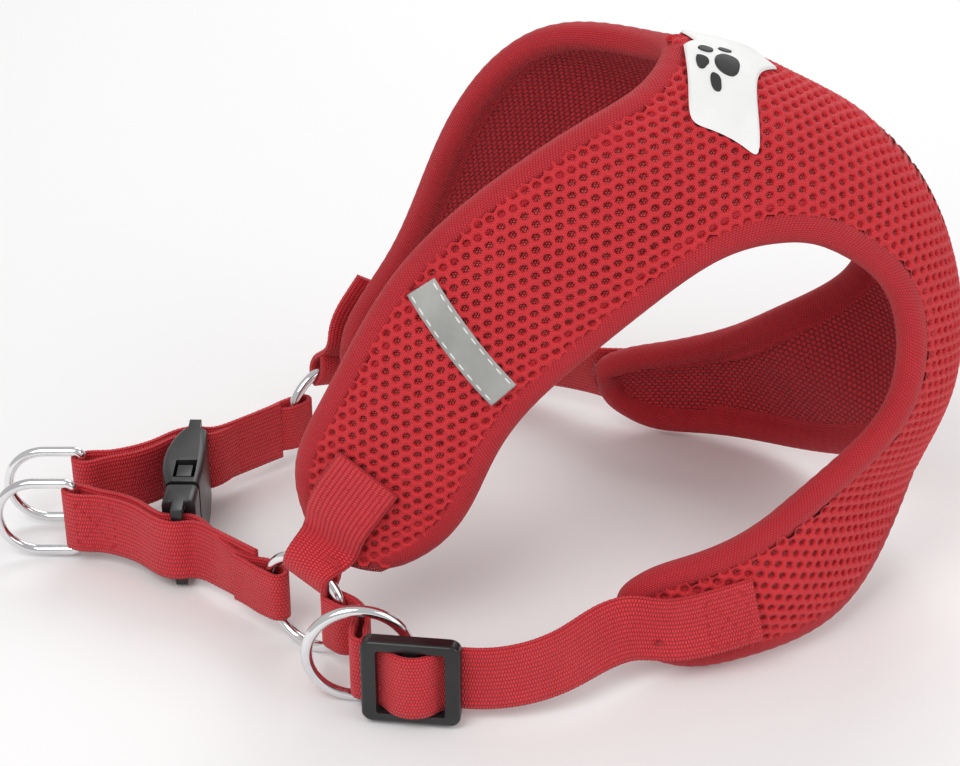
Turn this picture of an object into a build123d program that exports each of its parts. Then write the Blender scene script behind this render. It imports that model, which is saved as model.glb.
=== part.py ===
"""Step-in dog harness of padded air mesh and webbing, millimetres, +Z up.

The harness stands on its straps, the chest panel arched over them. +X runs from the leash rings to
the chest, +Y is the wearer's left. The right half is drawn; the left half is its mirror image, with
the left shoulder arm leaning a little, as soft goods do. The origin is at the middle of the
assembly's bounding box, on the ground.
"""

from build123d import *
import os

import numpy as np

# ---- webbing and metal ware ------------------------------------------------------------------
WEB_WIDTH = 20.0
WEB_THICK = 1.5
STRAP_HEIGHT = 14.4       # middle of the straps above the ground

RING_WIRE = 3.2           # wire diameter of the round rings
RING_INNER = 25.0         # clear opening of the round rings
D_WIRE = 3.0              # wire diameter of the leash rings
D_LENGTH = 23.0           # leash ring, bar to bow, between wire centres
D_PLAY = 0.3              # leash ring over the edges of the webbing, each side
LOOP_PLAY = 0.35          # room between a ring's wire and the webbing folded round it
LOOP_WIDTH = 15.0         # webbing gathered where it goes round a round ring

# ---- pad ----------------------------------------------------------------------------------------
MESH_THICK = 3.0          # outer air mesh with its foam
LINING_THICK = 1.4
LAYER_GAP = 0.1
PANEL_DEPTH = 0.8         # the mesh lies this far under the binding's crest line
PANEL_INSET = 6.0         # the panels end this far inside the sewn outline
BINDING_WIDTH = 11.0
BINDING_THICK = 7.6
BINDING_EDGE = 2.6        # thickness left at the two sides of the roll
CROWN = 4.0               # how far the arms are crowned across their width
FOLD_GAP = 0.15           # each half stops this far from the chest fold

# ---- adjuster, buckle and trims ---------------------------------------------------------------
SLIDER_LENGTH = 27.0      # along the strap
SLIDER_HEIGHT = 26.4
SLIDER_BAR = 4.2          # width of the frame's bars
SLIDER_THICK = 4.2
SLIDER_CLEAR = 0.35
WRAP_PLAY = 0.3           # room round the middle bar inside its webbing
WRAP_REACH = 5.6          # half length of the webbing over the middle bar, inside
SLIDER_TRAVEL = 5.0
MIDDLE_BAR = 1.6          # thickness of the adjuster's middle bar
RETURN_GAP = 1.6          # between the long strap and the layer that comes back to the adjuster

BUCKLE_WIDTH = 26.4
BUCKLE_THICK = 10.0
BUCKLE_WALL = 1.8
BAR_THICK = 2.0           # the buckle's strap bars
BAR_PLAY = 0.3
BAR_HALF = 1.8            # half the breadth of a strap bar
MALE_BASE = 9.0           # length of the male half's block
BUCKLE_GAP = 1.5          # between the two halves when shut
BUCKLE_BOW = 2.5          # how far the housing is bowed out
PRONG_DEPTH = 13.5        # how far the prongs go into the housing
ARM_THICK = 2.6
ARM_HALF = 2.2            # half the breadth of a latch arm
SEWN_GAP = 0.05           # between two layers sewn together
SEWN_LIFT = 1.0           # webbing sewn on the pad rides this far over its surface
LATCH_GAP = 0.3
BARB = 2.2                # how far a latch arm's button stands out

STRIP_WIDTH = 10.0
TRIM_THICK = 0.6
LABEL_WIDTH = 20.0
LABEL_LIFT = 0.35         # its underside over the mesh, which is curved both ways

# ---- places ---------------------------------------------------------------------------------------
RING_AT = (-49.0, -54.0)                  # right round ring, seen from above
RING_TURN = -37.5                         # direction of its plane, degrees from +X
D_BAR_AT = (-121.0, -9.0)
BUCKLE_X = -88.0
STRAP_Y = 22.5                            # back strap's middle line beside the buckle
SLIDER_AT = (-18.0, -85.0)
SLIDER_TURN = -7.0
KEEPER_SHARE = 0.62                       # where the keeper ring sits between round ring and adjuster
TAB_ANGLE = 76.0                          # where the shoulder tab sits on its ring, above level

# Ribs of the right half of the pad, from the end of the shoulder arm round the leg hole to the end
# of the rib arm: a point on the leg hole's edge, the point that pulls the rib's curve (None for a
# plain crown) and a point on the outer edge. The outer edge is the neck edge as far as NECK_RIB,
# the chest fold as far as BELLY_RIB, and the belly edge after that.
RIBS = [
    ((-27, -58, 26), None, (-44, -46, 25)),
    ((-14, -58, 33), None, (-51, -45, 40)),
    ((5, -55, 64), None, (-44, -44, 76)),
    ((28, -50.5, 90), None, (-22, -39, 114)),
    ((48, -47.5, 107), None, (5, -33, 138)),
    ((64, -44.5, 118), None, (30, -24, 152)),
    ((73, -42.5, 121), (60, -31, 148), (44, -14, 158)),
    ((81, -41, 122), (69, -20, 157), (50, 0, 163)),
    ((97, -38, 118), (86, -20, 150), (86, 0, 150)),
    ((111, -36, 106), (114, -20, 132), (114, 0, 132)),
    ((117, -39, 87), (134, -22, 96), (134, 0, 96)),
    ((112, -46, 68), (137, -24, 60), (137, 0, 60)),
    ((97, -53, 54), (124, -26, 34), (131, 0, 30)),
    ((78, -58.5, 43.5), None, (104, -46, 6)),
    ((58, -62, 36.5), None, (74, -63, 1.2)),
    ((43, -63.5, 32), None, (50, -67, 2.5)),
    ((34, -64.5, 26), None, (36, -66, 12)),
]
NECK_RIB, BELLY_RIB = 7, 12
LEAN_X, LEAN_Z = 15.0, 13.0               # how far the left shoulder arm leans, and stands higher

RING_R = (RING_INNER + RING_WIRE) / 2
FACE_Y = STRAP_Y - WEB_THICK / 2 - BAR_PLAY - 1.0      # ends of the buckle's two bodies
MOUTH_Y = -FACE_Y + MALE_BASE + BUCKLE_GAP
RIGHT, LEFT = -1, 1


def unit(v):
    v = np.asarray(v, float)
    return v / np.linalg.norm(v)


# ---- the pad's surface ---------------------------------------------------------------------------
def spline(t, y, x):
    """Natural cubic spline through the rows of y at t, read at x."""
    n, h = len(t), np.diff(t)
    a, b = np.eye(n), np.zeros_like(y)
    for i in range(1, n - 1):
        a[i, i - 1 : i + 2] = h[i - 1], 2 * (h[i - 1] + h[i]), h[i]
        b[i] = 6 * ((y[i + 1] - y[i]) / h[i] - (y[i] - y[i - 1]) / h[i - 1])
    m = np.linalg.solve(a, b)
    k = np.clip(np.searchsorted(t, x) - 1, 0, n - 2)
    left, right, span = (t[k + 1] - x)[:, None], (x - t[k])[:, None], h[k][:, None]
    bend = (m[k] * left**3 + m[k + 1] * right**3) / (6 * span)
    return bend + (y[k] / span - m[k] * span / 6) * left + (y[k + 1] / span - m[k + 1] * span / 6) * right


LEG = np.array([r[0] for r in RIBS], float)
RIM = np.array([r[2] for r in RIBS], float)
STATION = np.append(0, np.cumsum(np.linalg.norm(np.diff((LEG + RIM) / 2, axis=0), axis=1)))
STATION /= STATION[-1]
U_NECK, U_BELLY = STATION[NECK_RIB], STATION[BELLY_RIB]
LABEL_U = U_NECK + 0.055


def pulls():
    """Each rib's middle point; a plain crown stands CROWN off the chord, square to the arm."""
    run = np.gradient(LEG + RIM, axis=0)
    lift = np.cross(run, RIM - LEG)
    lift /= np.linalg.norm(lift, axis=1)[:, None]
    plain = (LEG + RIM) / 2 + 2 * CROWN * lift
    return np.array([plain[i] if r[1] is None else r[1] for i, r in enumerate(RIBS)], float)


PULL = pulls()


def ribs(u, side):
    """Leg edge, pull point and outer edge at each u, for the right or the left half."""
    u = np.atleast_1d(np.asarray(u, float))
    leg, pull, rim = spline(STATION, LEG, u), spline(STATION, PULL, u), np.zeros((len(u), 3))
    stops = [0, NECK_RIB, BELLY_RIB, len(RIBS) - 1]
    for a, b in zip(stops[:-1], stops[1:]):
        own = (u >= STATION[a] - 1e-9) & (u <= STATION[b] + 1e-9)
        rim[own] = spline(STATION[a : b + 1], RIM[a : b + 1], u[own])
    pull[:, 1] = np.minimum(pull[:, 1], 0)
    if side == LEFT:
        arm = np.clip(u / U_NECK, 0, 1)
        lean = np.stack([LEAN_X * np.sin(np.pi * arm**0.6) ** 2, 0 * arm, LEAN_Z * np.sin(np.pi * arm**1.8) ** 2], 1)
        leg, pull, rim = ((p + lean) * (1, -1, 1) for p in (leg, pull, rim))
    return leg, pull, rim


def on_pad(u, v, side, depth=0.0):
    """Point and outward normal at (u, v); v runs from the leg edge (0) to the outer edge (1)."""
    leg, pull, rim = (p[0] for p in ribs(u, side))
    point = (1 - v) ** 2 * leg + 2 * v * (1 - v) * pull + v * v * rim
    along = unit((1 - v) * (pull - leg) + v * (rim - pull))
    chord = rim - leg
    plane = unit(np.cross(chord, pull - leg))
    normal = unit(np.cross(plane, along))
    if normal @ (pull - (leg + rim) / 2) < 0:
        normal = -normal
    return point - depth * normal, normal, along


def rib_length(u, side):
    v = np.linspace(0, 1, 12)
    points = np.array([on_pad(u, t, side)[0] for t in v])
    return np.linalg.norm(np.diff(points, axis=0), axis=1).sum()


def rib_section(u, side, top, bottom, fold):
    """Closed planar outline of one layer across a rib, between two depths."""
    inset = min(PANEL_INSET / rib_length(u, side), 0.32)
    last = 1.0 if fold else 1 - inset
    v = np.linspace(inset, last, 6)
    outer = [Vector(*on_pad(u, t, side, top)[0]) for t in v]
    inner = [Vector(*on_pad(u, t, side, bottom)[0]) for t in v[::-1]]
    return Wire([Edge.make_spline(outer), Edge.make_line(outer[-1], inner[0]),
                 Edge.make_spline(inner), Edge.make_line(inner[-1], outer[0])])


def half_space(side):
    """The side of the chest fold that a half may fill."""
    box = Box(800, 400, 600)
    return Pos(0, side * (200 + FOLD_GAP), 100) * box


def layer(side, top, bottom):
    """One layer of a half pad, in its three pieces."""
    eps = 0.012
    shoulder = [rib_section(u, side, top, bottom, False) for u in np.linspace(eps, U_NECK, 9)]
    chest = [rib_section(u, side, top, bottom, True) for u in np.linspace(U_NECK, U_BELLY, 9)]
    rib = [rib_section(u, side, top, bottom, False) for u in np.linspace(U_BELLY, 1 - eps, 8)]
    return {"shoulder": Solid.make_loft(shoulder), "chest": Solid.make_loft(chest) & half_space(side),
            "rib": Solid.make_loft(rib)}


def edge_frame(u, side, edge):
    """A point on a sewn edge with the directions into the pad and out of its face."""
    v = 0.0 if edge == "leg" else 1.0
    point, normal, along = on_pad(u, v, side)
    return point, along * (1 if edge == "leg" else -1), normal


def roll(centres, inward):
    """Rolled binding tape: an oval carried through centres; inward are the directions across it."""
    sections = []
    for c, a, t in zip(centres, inward, np.gradient(np.array(centres), axis=0)):
        t = unit(t)
        a = unit(a - t * (a @ t))
        n = np.cross(t, a)
        corner = [Vector(*(c + a * x * BINDING_WIDTH / 2 + n * y * BINDING_EDGE / 2))
                  for x, y in ((-1, 1), (1, 1), (1, -1), (-1, -1))]
        crest = [Vector(*(c + n * y * BINDING_THICK / 2)) for y in (1, -1)]
        sections.append(Wire([Edge.make_three_point_arc(corner[0], crest[0], corner[1]),
                              Edge.make_line(corner[1], corner[2]),
                              Edge.make_three_point_arc(corner[2], crest[1], corner[3]),
                              Edge.make_line(corner[3], corner[0])]))
    return Solid.make_loft(sections)


def binding(side, edge, start, stop, count):
    """Binding along the leg hole or the outer edge, its outside on the edge."""
    us = np.linspace(start, stop, count)
    centres, inward = [], []
    for u in us:
        point, into, normal = edge_frame(u, side, edge)
        if edge == "rim" and (abs(u - U_NECK) < 0.004 or abs(u - U_BELLY) < 0.004):
            into = unit(into * (1, 0, 1))
            normal = unit(normal * (1, 0, 1))
        centres.append(point + into * BINDING_WIDTH / 2 - normal * BINDING_THICK / 2)
        inward.append(into)
    return roll(centres, inward) & half_space(side)


def end_binding(side, u, way):
    """Binding across the end of an arm, from the leg edge to the outer edge."""
    centres, inward = [], []
    for v in np.linspace(0.04, 0.96, 7):
        point, normal, _ = on_pad(u, v, side)
        into = unit(on_pad(u + way * 0.02, v, side)[0] - point)
        centres.append(point + into * BINDING_WIDTH / 2 - normal * BINDING_THICK / 2)
        inward.append(into)
    return roll(centres, inward)


# ---- webbing ------------------------------------------------------------------------------------------
def tape(points, widths, thick=WEB_THICK, width=WEB_WIDTH):
    """Flat webbing carried through points; widths are the directions across it."""
    points = np.asarray(points, float)
    broad = np.broadcast_to(width, len(points))
    widths = [unit(w) for w in np.asarray(widths, float)]
    run = np.gradient(points, axis=0)
    sections = []
    for p, w, t, across in zip(points, widths, run, broad):
        t = unit(t - w * (t @ w))
        plane = Plane(origin=Vector(*p), x_dir=Vector(*w), z_dir=Vector(*t))
        sections.append((plane * Rectangle(float(across), thick)).wire())
    return Solid.make_loft(sections)


def loop(centre, along, across, inside_length, inside_height, width=WEB_WIDTH):
    """Webbing folded round a wire: a flat ring of webbing, drawn out along the strap."""
    plane = Plane(origin=Vector(*centre), x_dir=Vector(*unit(along)), z_dir=Vector(*unit(across)))
    walls = 2 * WEB_THICK
    outline = SlotOverall(inside_length + walls, inside_height + walls) - SlotOverall(inside_length, inside_height)
    return extrude(plane * outline, width / 2, both=True)


UP = np.array([0.0, 0.0, 1.0])


def turned(angle):
    a = np.radians(angle)
    return np.array([np.cos(a), np.sin(a), 0.0])


def at_height(xy, z=STRAP_HEIGHT):
    return np.array([xy[0], xy[1], z])


RING_CENTRE = at_height(RING_AT, RING_R + RING_WIRE / 2)
RING_LEVEL = turned(RING_TURN)
LOOP_INSIDE = RING_WIRE + 2 * LOOP_PLAY


def loop_reach(centre_offset):
    """Nearest and furthest that a ring's wire comes across webbing set off its middle height."""
    low = np.sqrt((RING_INNER / 2) ** 2 - (abs(centre_offset) + LOOP_WIDTH / 2) ** 2)
    return low - LOOP_PLAY, RING_R + RING_WIRE / 2 + LOOP_PLAY


RING_DROP = STRAP_HEIGHT - (RING_R + RING_WIRE / 2)


def ring_loop(direction):
    """Loop of webbing on the round ring, leaving it along a level direction, and its outer end."""
    near, far = loop_reach(RING_DROP)
    level = RING_CENTRE + UP * RING_DROP
    fold = loop(level + direction * (near + far) / 2, direction, UP, far - near, LOOP_INSIDE, LOOP_WIDTH)
    return fold, level + direction * (far + WEB_THICK / 2)


def gather(count, at_start=False, over=4):
    """Widths of a strap that narrows to LOOP_WIDTH over its last sections."""
    share = np.clip((count - 1 - np.arange(count)) / over, 0, 1)
    share = share[::-1] if at_start else share
    return LOOP_WIDTH + (WEB_WIDTH - LOOP_WIDTH) * share


def back_line():
    """Middle line of the back strap's inner layer, from the leash ring to the round ring."""
    d_end = at_height(D_BAR_AT) + np.array([D_WIRE / 2 + LOOP_PLAY, 0, 0])
    _, ring_end = ring_loop(-RING_LEVEL)
    beside = [at_height((BUCKLE_X + x, -STRAP_Y)) for x in (-3.5, 0, 3.5)]
    return np.array([d_end, at_height((-106, -13.5)), *beside, at_height((-73, -31.5)), ring_end])


def strap_through(points, count):
    """Even points on a smooth line through hand-set ones."""
    t = np.append(0, np.cumsum(np.linalg.norm(np.diff(points, axis=0), axis=1)))
    return spline(t, np.asarray(points), np.linspace(0, t[-1], count))


def back_strap():
    """Back strap: the layer with both loops, and the layer folded back over the buckle's bar."""
    line = strap_through(back_line(), 21)
    run = np.gradient(line, axis=0)
    out = np.array([unit(np.cross(t, UP)) for t in run])
    up = [UP] * len(line)
    over_bar = np.exp(-(((line[:, 0] - BUCKLE_X) / 6.5) ** 4))
    step = WEB_THICK + SEWN_GAP + (BAR_THICK + 2 * BAR_PLAY) * over_bar
    bar = loop(at_height(D_BAR_AT), (1, 0, 0), UP, D_WIRE + 2 * LOOP_PLAY, D_WIRE + 2 * LOOP_PLAY)
    inner = tape(line, up, width=gather(len(line))) + ring_loop(-RING_LEVEL)[0] + bar
    folded = slice(2, 18)
    return inner, tape((line + out * step[:, None])[folded], up[folded])


def bend(start, way, stop, arrive, count):
    """Cubic bend from start, leaving along way, to stop, arriving along arrive."""
    start, stop = np.asarray(start), np.asarray(stop)
    reach = np.linalg.norm(stop - start)
    t = np.linspace(0, 1, count)[:, None]
    return ((2 * t**3 - 3 * t**2 + 1) * start + (t**3 - 2 * t**2 + t) * unit(way) * reach
            + (3 * t**2 - 2 * t**3) * stop + (t**3 - t**2) * unit(arrive) * reach)


def rib_line():
    """Rib strap in three runs: round ring to adjuster, straight past it, on to the rib arm."""
    e = turned(SLIDER_TURN)
    centre = at_height(SLIDER_AT)
    before = centre - e * (SLIDER_LENGTH / 2 + 0.5)
    after = centre + e * (SLIDER_LENGTH / 2 + SLIDER_TRAVEL + 0.5)
    _, start = ring_loop(RING_LEVEL)
    sewn = []
    for u in (0.975, 0.94, 0.90):
        point, normal, _ = on_pad(u, 0.5, RIGHT)
        sewn.append(point + normal * (WEB_THICK / 2 + SEWN_LIFT))
    first = bend(start, RING_LEVEL, before, e, 8)
    last = bend(after, e, sewn[0], sewn[1] - sewn[0], 8)
    return first, np.array([before, after]), np.vstack([last, strap_through(np.array(sewn), 5)[1:]])


def rib_strap():
    """Long strap from the rib arm, straight behind the adjuster, to its loop on the ring."""
    first, straight, last = rib_line()
    runs = [tape(first, [UP] * len(first), width=gather(len(first), at_start=True)),
            tape(straight, [UP] * 2), tape(last, [UP] * len(last))]
    return runs[0] + runs[1] + runs[2] + ring_loop(RING_LEVEL)[0]


def strap_return():
    """The layer that comes back from the ring behind the long strap, up to the middle bar."""
    first, straight, _ = rib_line()
    e = turned(SLIDER_TURN)
    stop = straight[0] + e * (SLIDER_LENGTH / 2 - WRAP_REACH - WEB_THICK)
    line = strap_through(np.vstack([first[3:], stop]), 9)
    run = np.gradient(line, axis=0)
    inward = np.array([-unit(np.cross(t, UP)) for t in run])
    ease = np.clip(np.arange(len(line)) / 2, 0, 1)[:, None]
    line = line + inward * (WEB_THICK + SEWN_GAP + (RETURN_GAP - SEWN_GAP) * ease)
    return tape(line, [UP] * len(line), width=WEB_WIDTH - 1)


def keeper_place():
    """Middle and turn of the second ring, square to the strap and round both its layers."""
    first, _, _ = rib_line()
    place = KEEPER_SHARE * (len(first) - 1)
    k = int(place)
    at = first[k] + (first[k + 1] - first[k]) * (place - k)
    way = unit(first[k + 1] - first[k])
    inward = -unit(np.cross(way, UP))
    at = at + inward * (WEB_THICK + RETURN_GAP) / 2
    return at_height(at, RING_CENTRE[2]), float(np.degrees(np.arctan2(inward[1], inward[0])))


def shoulder_tab():
    """Short strap folded round the ring and sewn on the end of the shoulder arm."""
    a = np.radians(TAB_ANGLE)
    out = RING_LEVEL * np.cos(a) + UP * np.sin(a)
    across = RING_LEVEL * np.sin(a) - UP * np.cos(a)
    near, far = loop_reach(0)
    fold = loop(RING_CENTRE + out * (near + far) / 2, out, across, far - near, LOOP_INSIDE, LOOP_WIDTH)
    start = RING_CENTRE + out * (far + WEB_THICK / 2)
    sewn_at = []
    for u, v in ((0.028, 0.52), (0.062, 0.50), (0.095, 0.48)):
        point, normal, _ = on_pad(u, v, RIGHT)
        sewn_at.append(point + normal * (WEB_THICK + SEWN_LIFT))
    _, _, rib_way = on_pad(0.06, 0.5, RIGHT)
    points = np.array([start, start + (sewn_at[0] - start) * 0.5, *sewn_at])
    line = strap_through(points, 9)
    share = np.linspace(0, 1, len(line))[:, None]
    widths = across * (1 - share) - rib_way * share
    return tape(line, widths, thick=2 * WEB_THICK, width=gather(len(line), at_start=True)) + fold


def torus(centre, turn, lean=0.0):
    normal = unit(np.cross(turned(turn), UP))
    plane = Plane(origin=Vector(*centre), x_dir=Vector(*turned(turn)), z_dir=Vector(*normal))
    return plane * Torus(RING_R, RING_WIRE / 2)


def d_ring():
    """Leash ring: a straight bar in the strap's loop and a bow with straight shanks."""
    half = WEB_WIDTH / 2 + D_PLAY + D_WIRE / 2
    bar = Vector(D_BAR_AT[0], D_BAR_AT[1], STRAP_HEIGHT)
    plane = Plane(origin=bar, x_dir=(-1, 0, 0), z_dir=(0, 1, 0))
    shank = D_LENGTH - half
    path = [
        Line((0, -half + 2), (0, half - 2)),
        TangentArc((0, half - 2), (2, half), tangent=(0, 1)),
        Line((2, half), (shank, half)),
        ThreePointArc((shank, half), (D_LENGTH, 0), (shank, -half)),
        Line((shank, -half), (2, -half)),
        TangentArc((2, -half), (0, -half + 2), tangent=(-1, 0)),
    ]
    wire = Wire([plane * e for e in path])
    start = Plane(origin=wire @ 0, z_dir=wire % 0)
    return sweep(start * Circle(D_WIRE / 2), path=wire)


def slider_frame():
    """Directions of the adjuster: along the strap, out of its face, and the strap's middle."""
    e = turned(SLIDER_TURN)
    return e, unit(np.cross(e, UP)), at_height(SLIDER_AT)


def slider():
    """Adjuster frame, its back just clear of the strap, with a raised middle bar."""
    e, out, centre = slider_frame()
    back = centre + out * (WEB_THICK / 2 + SLIDER_CLEAR)
    plane = Plane(origin=Vector(*back), x_dir=Vector(*e), z_dir=Vector(*out))
    frame = RectangleRounded(SLIDER_LENGTH, SLIDER_HEIGHT, 3.0)
    frame -= RectangleRounded(SLIDER_LENGTH - 2 * SLIDER_BAR, WEB_WIDTH + 0.8, 1.0)
    body = extrude(plane * frame, SLIDER_THICK)
    rim = body.faces().sort_by(Axis(Vector(*back), Vector(*out)))[-1].outer_wire().edges()
    body = fillet(rim, 1.0)
    bar = Box(SLIDER_BAR, WEB_WIDTH + 2, MIDDLE_BAR)
    return body + plane * Pos(0, 0, wrap_back() + MIDDLE_BAR / 2) * bar


def wrap_back():
    """Height of the middle bar over the frame's back, leaving room for the webbing behind it."""
    return WEB_THICK + 2 * WRAP_PLAY


def slider_wrap():
    """Webbing that goes over the adjuster's middle bar and is sewn to itself."""
    e, out, centre = slider_frame()
    bar = centre + out * (WEB_THICK / 2 + SLIDER_CLEAR + wrap_back() + MIDDLE_BAR / 2)
    plane = Plane(origin=Vector(*bar), x_dir=Vector(*e), z_dir=Vector(*UP))
    high = MIDDLE_BAR / 2 + WRAP_PLAY
    outer = RectangleRounded(2 * (WRAP_REACH + WEB_THICK), 2 * (high + WEB_THICK), high + WEB_THICK - 0.1)
    hole = RectangleRounded(2 * WRAP_REACH, 2 * high, high - 0.1)
    return extrude(plane * (outer - hole), WEB_WIDTH / 2, both=True)


def block(y0, y1, x0, x1, z0, z1):
    """Box between coordinates taken from the buckle's middle line."""
    size = (x1 - x0, y1 - y0, z1 - z0)
    at = (BUCKLE_X + (x0 + x1) / 2, (y0 + y1) / 2, STRAP_HEIGHT + (z0 + z1) / 2)
    return Pos(*at) * Box(*size)


def strap_bar(side):
    """Bar between the two layers of a strap, carried by two cheeks past its edges."""
    half = BUCKLE_WIDTH / 2
    gap = WEB_WIDTH / 2 + BAR_PLAY
    inner = FACE_Y
    outer = STRAP_Y + WEB_THICK / 2 + BAR_PLAY + BAR_THICK
    slot = STRAP_Y + WEB_THICK / 2 + BAR_PLAY
    y = sorted((side * inner, side * outer))
    bar_y = sorted((side * slot, side * outer))
    bar = block(*bar_y, -BAR_HALF, BAR_HALF, -half, half)
    cheeks = block(*y, -BAR_HALF, BAR_HALF, gap, half) + block(*y, -BAR_HALF, BAR_HALF, -half, -gap)
    return bar + cheeks


def housing():
    """Female half: a bowed hollow shell, open at the mouth, with a window in each edge."""
    half, t, w = BUCKLE_WIDTH / 2, BUCKLE_THICK / 2, BUCKLE_WALL
    mid = (MOUTH_Y + FACE_Y) / 2
    x0, x1 = BUCKLE_X - t, BUCKLE_X + t
    outline = Wire([Edge.make_three_point_arc((x0, MOUTH_Y), (x0 - BUCKLE_BOW, mid), (x0 + 1, FACE_Y)),
                    Edge.make_line((x0 + 1, FACE_Y), (x1 - 1, FACE_Y)),
                    Edge.make_three_point_arc((x1 - 1, FACE_Y), (x1, mid), (x1, MOUTH_Y)),
                    Edge.make_line((x1, MOUTH_Y), (x0, MOUTH_Y))])
    shell = Pos(0, 0, STRAP_HEIGHT) * extrude(Face(outline), half, both=True)
    long_edges = [e for e in shell.edges() if abs(e.center().Z - STRAP_HEIGHT) > half - 0.1
                  and abs(e.center().Y - mid) < 4]
    shell = fillet(long_edges, 2.0)
    hollow = block(MOUTH_Y - 1, FACE_Y - 3.0, -t + w, t - w, -half + w, half - w)
    windows = block(MOUTH_Y + 2.5, MOUTH_Y + 12.0, -t + w, t - w, -half - 1, half + 1)
    return shell - hollow - windows + strap_bar(LEFT)


def male_base():
    """Male half: block with its strap bar and the flat guide tongue."""
    half, t = BUCKLE_WIDTH / 2, BUCKLE_THICK / 2
    base = block(-FACE_Y, -FACE_Y + MALE_BASE, -t, t, -half, half)
    base = fillet(base.edges().filter_by(Axis.Y), 2.0)
    tongue = block(-FACE_Y + MALE_BASE - 0.5, MOUTH_Y + PRONG_DEPTH - 3, -1.2, 1.2, -3.5, 3.5)
    return base + tongue + strap_bar(RIGHT)


def latch_arm(way):
    """Sprung side arm with a button that clicks into the housing's window."""
    half, w = BUCKLE_WIDTH / 2, BUCKLE_WALL
    root = -FACE_Y + MALE_BASE + LATCH_GAP
    z1 = half - w - 0.4
    arm = block(root, MOUTH_Y + PRONG_DEPTH, -ARM_HALF, ARM_HALF, *sorted((way * (z1 - ARM_THICK), way * z1)))
    button = block(MOUTH_Y + 3.0, MOUTH_Y + 11.0, -ARM_HALF, ARM_HALF, *sorted((way * (z1 - 0.5), way * (z1 + BARB))))
    ramp = button.edges().filter_by(Axis.X).sort_by(Axis.Y)[-2:]
    ramp = [e for e in ramp if way * (e.center().Z - STRAP_HEIGHT) > z1]
    return arm + chamfer(ramp, BARB * 0.9)


def strip(side):
    """Reflective tape sewn across the shoulder arm."""
    ends = ((0.26, 0.84), (0.165, 0.14))
    us, vs = (np.linspace(a, b, 7) for a, b in zip(*ends))
    line, normals = zip(*[on_pad(u, v, side)[:2] for u, v in zip(us, vs)])
    line = np.array(line) + np.array(normals) * (TRIM_THICK / 2 - PANEL_DEPTH + 0.05)
    run = np.gradient(line, axis=0)
    widths = [np.cross(n, t) for n, t in zip(normals, run)]
    return tape(line, widths, thick=TRIM_THICK, width=STRIP_WIDTH)


def label():
    """Soft moulded patch across the chest, just behind the neck edge."""
    points, widths = [], []
    for side, shares in ((RIGHT, (0.34, 0.48, 0.62, 0.76, 0.9)), (LEFT, (0.9, 0.76, 0.62, 0.48, 0.34))):
        for v in shares:
            point, normal, _ = on_pad(LABEL_U, v, side, PANEL_DEPTH)
            points.append(point + normal * (TRIM_THICK / 2 + LABEL_LIFT))
            widths.append(on_pad(LABEL_U + 0.02, v, side)[0] - on_pad(LABEL_U - 0.02, v, side)[0])
    return tape(points, widths, thick=TRIM_THICK, width=LABEL_WIDTH)


def mirrored(shape):
    return shape.mirror(Plane.XZ)


def build():
    nodes = {}
    for side, name in ((RIGHT, "right"), (LEFT, "left")):
        under = PANEL_DEPTH + MESH_THICK + LAYER_GAP
        for part, shape in layer(side, PANEL_DEPTH, PANEL_DEPTH + MESH_THICK).items():
            nodes[f"{name}_{part}_mesh"] = shape
        for part, shape in layer(side, under, under + LINING_THICK).items():
            nodes[f"{name}_{part}_lining"] = shape
        nodes[f"{name}_leg_binding"] = binding(side, "leg", 0.012, 0.988, 26)
        nodes[f"{name}_neck_binding"] = binding(side, "rim", 0.012, U_NECK, 14)
        nodes[f"{name}_belly_binding"] = binding(side, "rim", U_BELLY, 0.988, 9)
        nodes[f"{name}_shoulder_end_binding"] = end_binding(side, 0.006, 1)
        nodes[f"{name}_rib_end_binding"] = end_binding(side, 0.994, -1)
        nodes[f"{name}_reflective_strip"] = strip(side)
    strap, strap_fold = back_strap()
    pieces = {
        "shoulder_tab": shoulder_tab(), "rib_strap": rib_strap(),
        "back_strap": strap, "back_strap_fold": strap_fold,
        "round_ring": torus(RING_CENTRE, RING_TURN),
        "keeper_ring": torus(*keeper_place()), "strap_return": strap_return(),
        "leash_ring": d_ring(), "strap_slider": slider(), "slider_loop": slider_wrap(),
    }
    for name, shape in pieces.items():
        nodes[f"right_{name}"] = shape
        nodes[f"left_{name}"] = mirrored(shape)
    nodes["buckle_housing"] = housing()
    nodes["buckle_prong_base"] = male_base()
    nodes["buckle_latch_upper"] = latch_arm(1)
    nodes["buckle_latch_lower"] = latch_arm(-1)
    nodes["chest_label"] = label()
    return nodes


nodes = build()
corners = [shape.bounding_box() for shape in nodes.values()]
middle_x = (min(b.min.X for b in corners) + max(b.max.X for b in corners)) / 2
middle_y = (min(b.min.Y for b in corners) + max(b.max.Y for b in corners)) / 2
ground = min(b.min.Z for b in corners)
print("origin shift", middle_x, middle_y, ground)

os.makedirs("parts", exist_ok=True)
for name, shape in nodes.items():
    export_step(Pos(-middle_x, -middle_y, -ground) * shape, f"parts/{name}.step")
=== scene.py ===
# %% [markdown]
# # A padded step-in harness for a small dog
# The real harness is a chest piece of thick air mesh with a rolled edge, held by flat webbing straps.
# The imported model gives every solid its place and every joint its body. This script keeps those
# places and builds the cloth, thread, metal and plastic that the eye sees, one piece in each cell.

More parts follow.
